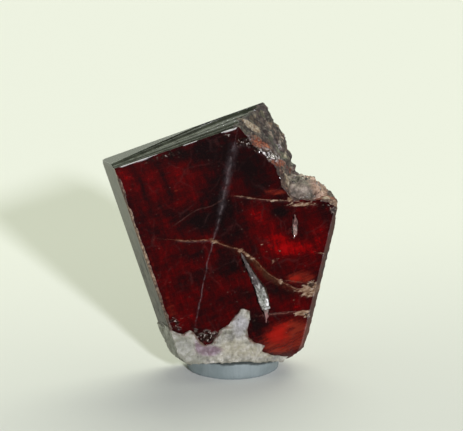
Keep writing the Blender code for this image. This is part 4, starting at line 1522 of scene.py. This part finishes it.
def puttyFinish():
    f = Finish("putty")
    at = f.stretch(f.add("ShaderNodeTexCoord").outputs["Object"], (1000.0, 1000.0, 1000.0))
    soft = f.noise(at, 0.5, 3.0)
    streaks = f.noise(f.stretch(at, (3.0, 3.0, 0.3)), 1.0, 3.0)
    color = f.mix(f.fade(soft, 0.3, 0.7), (0.18, 0.22, 0.22), (0.22, 0.26, 0.26))
    color = f.mix(f.fade(streaks, 0.45, 0.75, (0.0, 0.35)), color, (0.13, 0.165, 0.17))
    # painted contact shadow along the groove where the putty meets the specimen
    color = f.mix(f.sum("MULTIPLY", f.painted("jointGrooveAndPaintedShadow"), 0.85), color, (0.018, 0.022, 0.017))
    f.set(
        Base_Color=color, Roughness=0.62, IOR=1.45,
        Normal=f.bump(f.sum("ADD", streaks, f.noise(at, 6.0, 3.0)), 0.00005, 0.5),
    )
    return f.material


setStudio()
grainTree = makeGrainTree()
earthGrains = grainFinish(
    "breakGrains",
    [(0.25, (0.014, 0.009, 0.006)), (0.45, (0.050, 0.034, 0.024)), (0.6, (0.12, 0.09, 0.065)),
     (0.75, (0.22, 0.17, 0.13)), (0.88, (0.45, 0.40, 0.33))],
    (0.9, 0.35), 1.6,
)
paleGrains = grainFinish(
    "albiteGrains",
    [
        (0.2, (0.10, 0.09, 0.075)), (0.45, (0.25, 0.24, 0.21)), (0.65, (0.38, 0.37, 0.33)),
        (0.85, (0.55, 0.54, 0.5)),
    ],
)
stonyGrains = grainFinish(
    "crustGrains",
    [
        (0.2, (0.02, 0.018, 0.015)), (0.45, (0.11, 0.10, 0.08)), (0.6, (0.19, 0.16, 0.15)),
        (0.8, (0.40, 0.37, 0.32)),
    ],
)
silveryPlates = grainFinish(
    "micaPlates",
    [
        (0.2, (0.05, 0.048, 0.042)), (0.45, (0.15, 0.15, 0.13)), (0.65, (0.30, 0.30, 0.28)),
        (0.9, (0.55, 0.55, 0.54)),
    ],
    (0.9, 0.6),
)
makePutty(puttyFinish())
pockets = [
    outlineSolid(
        "pocket", bladeOutline(blade, 0.04), -1.0, blade["depth"] + 0.05,
    ) for blade in micaBlades.values()
]
stone, stonePoints = makeCrystal(footSeat(foot["seatReach"]), pockets, tantaliteFinish())
makeBreakGrains(stone, stonePoints, earthGrains)
makeFoot(albiteFinish(), paleGrains)
makeCrust(crustFinish(), stonyGrains)
mica = micaFinish()
for bladeName in micaBlades:
    makeBlade(bladeName, mica, silveryPlates)
print("pieces made")
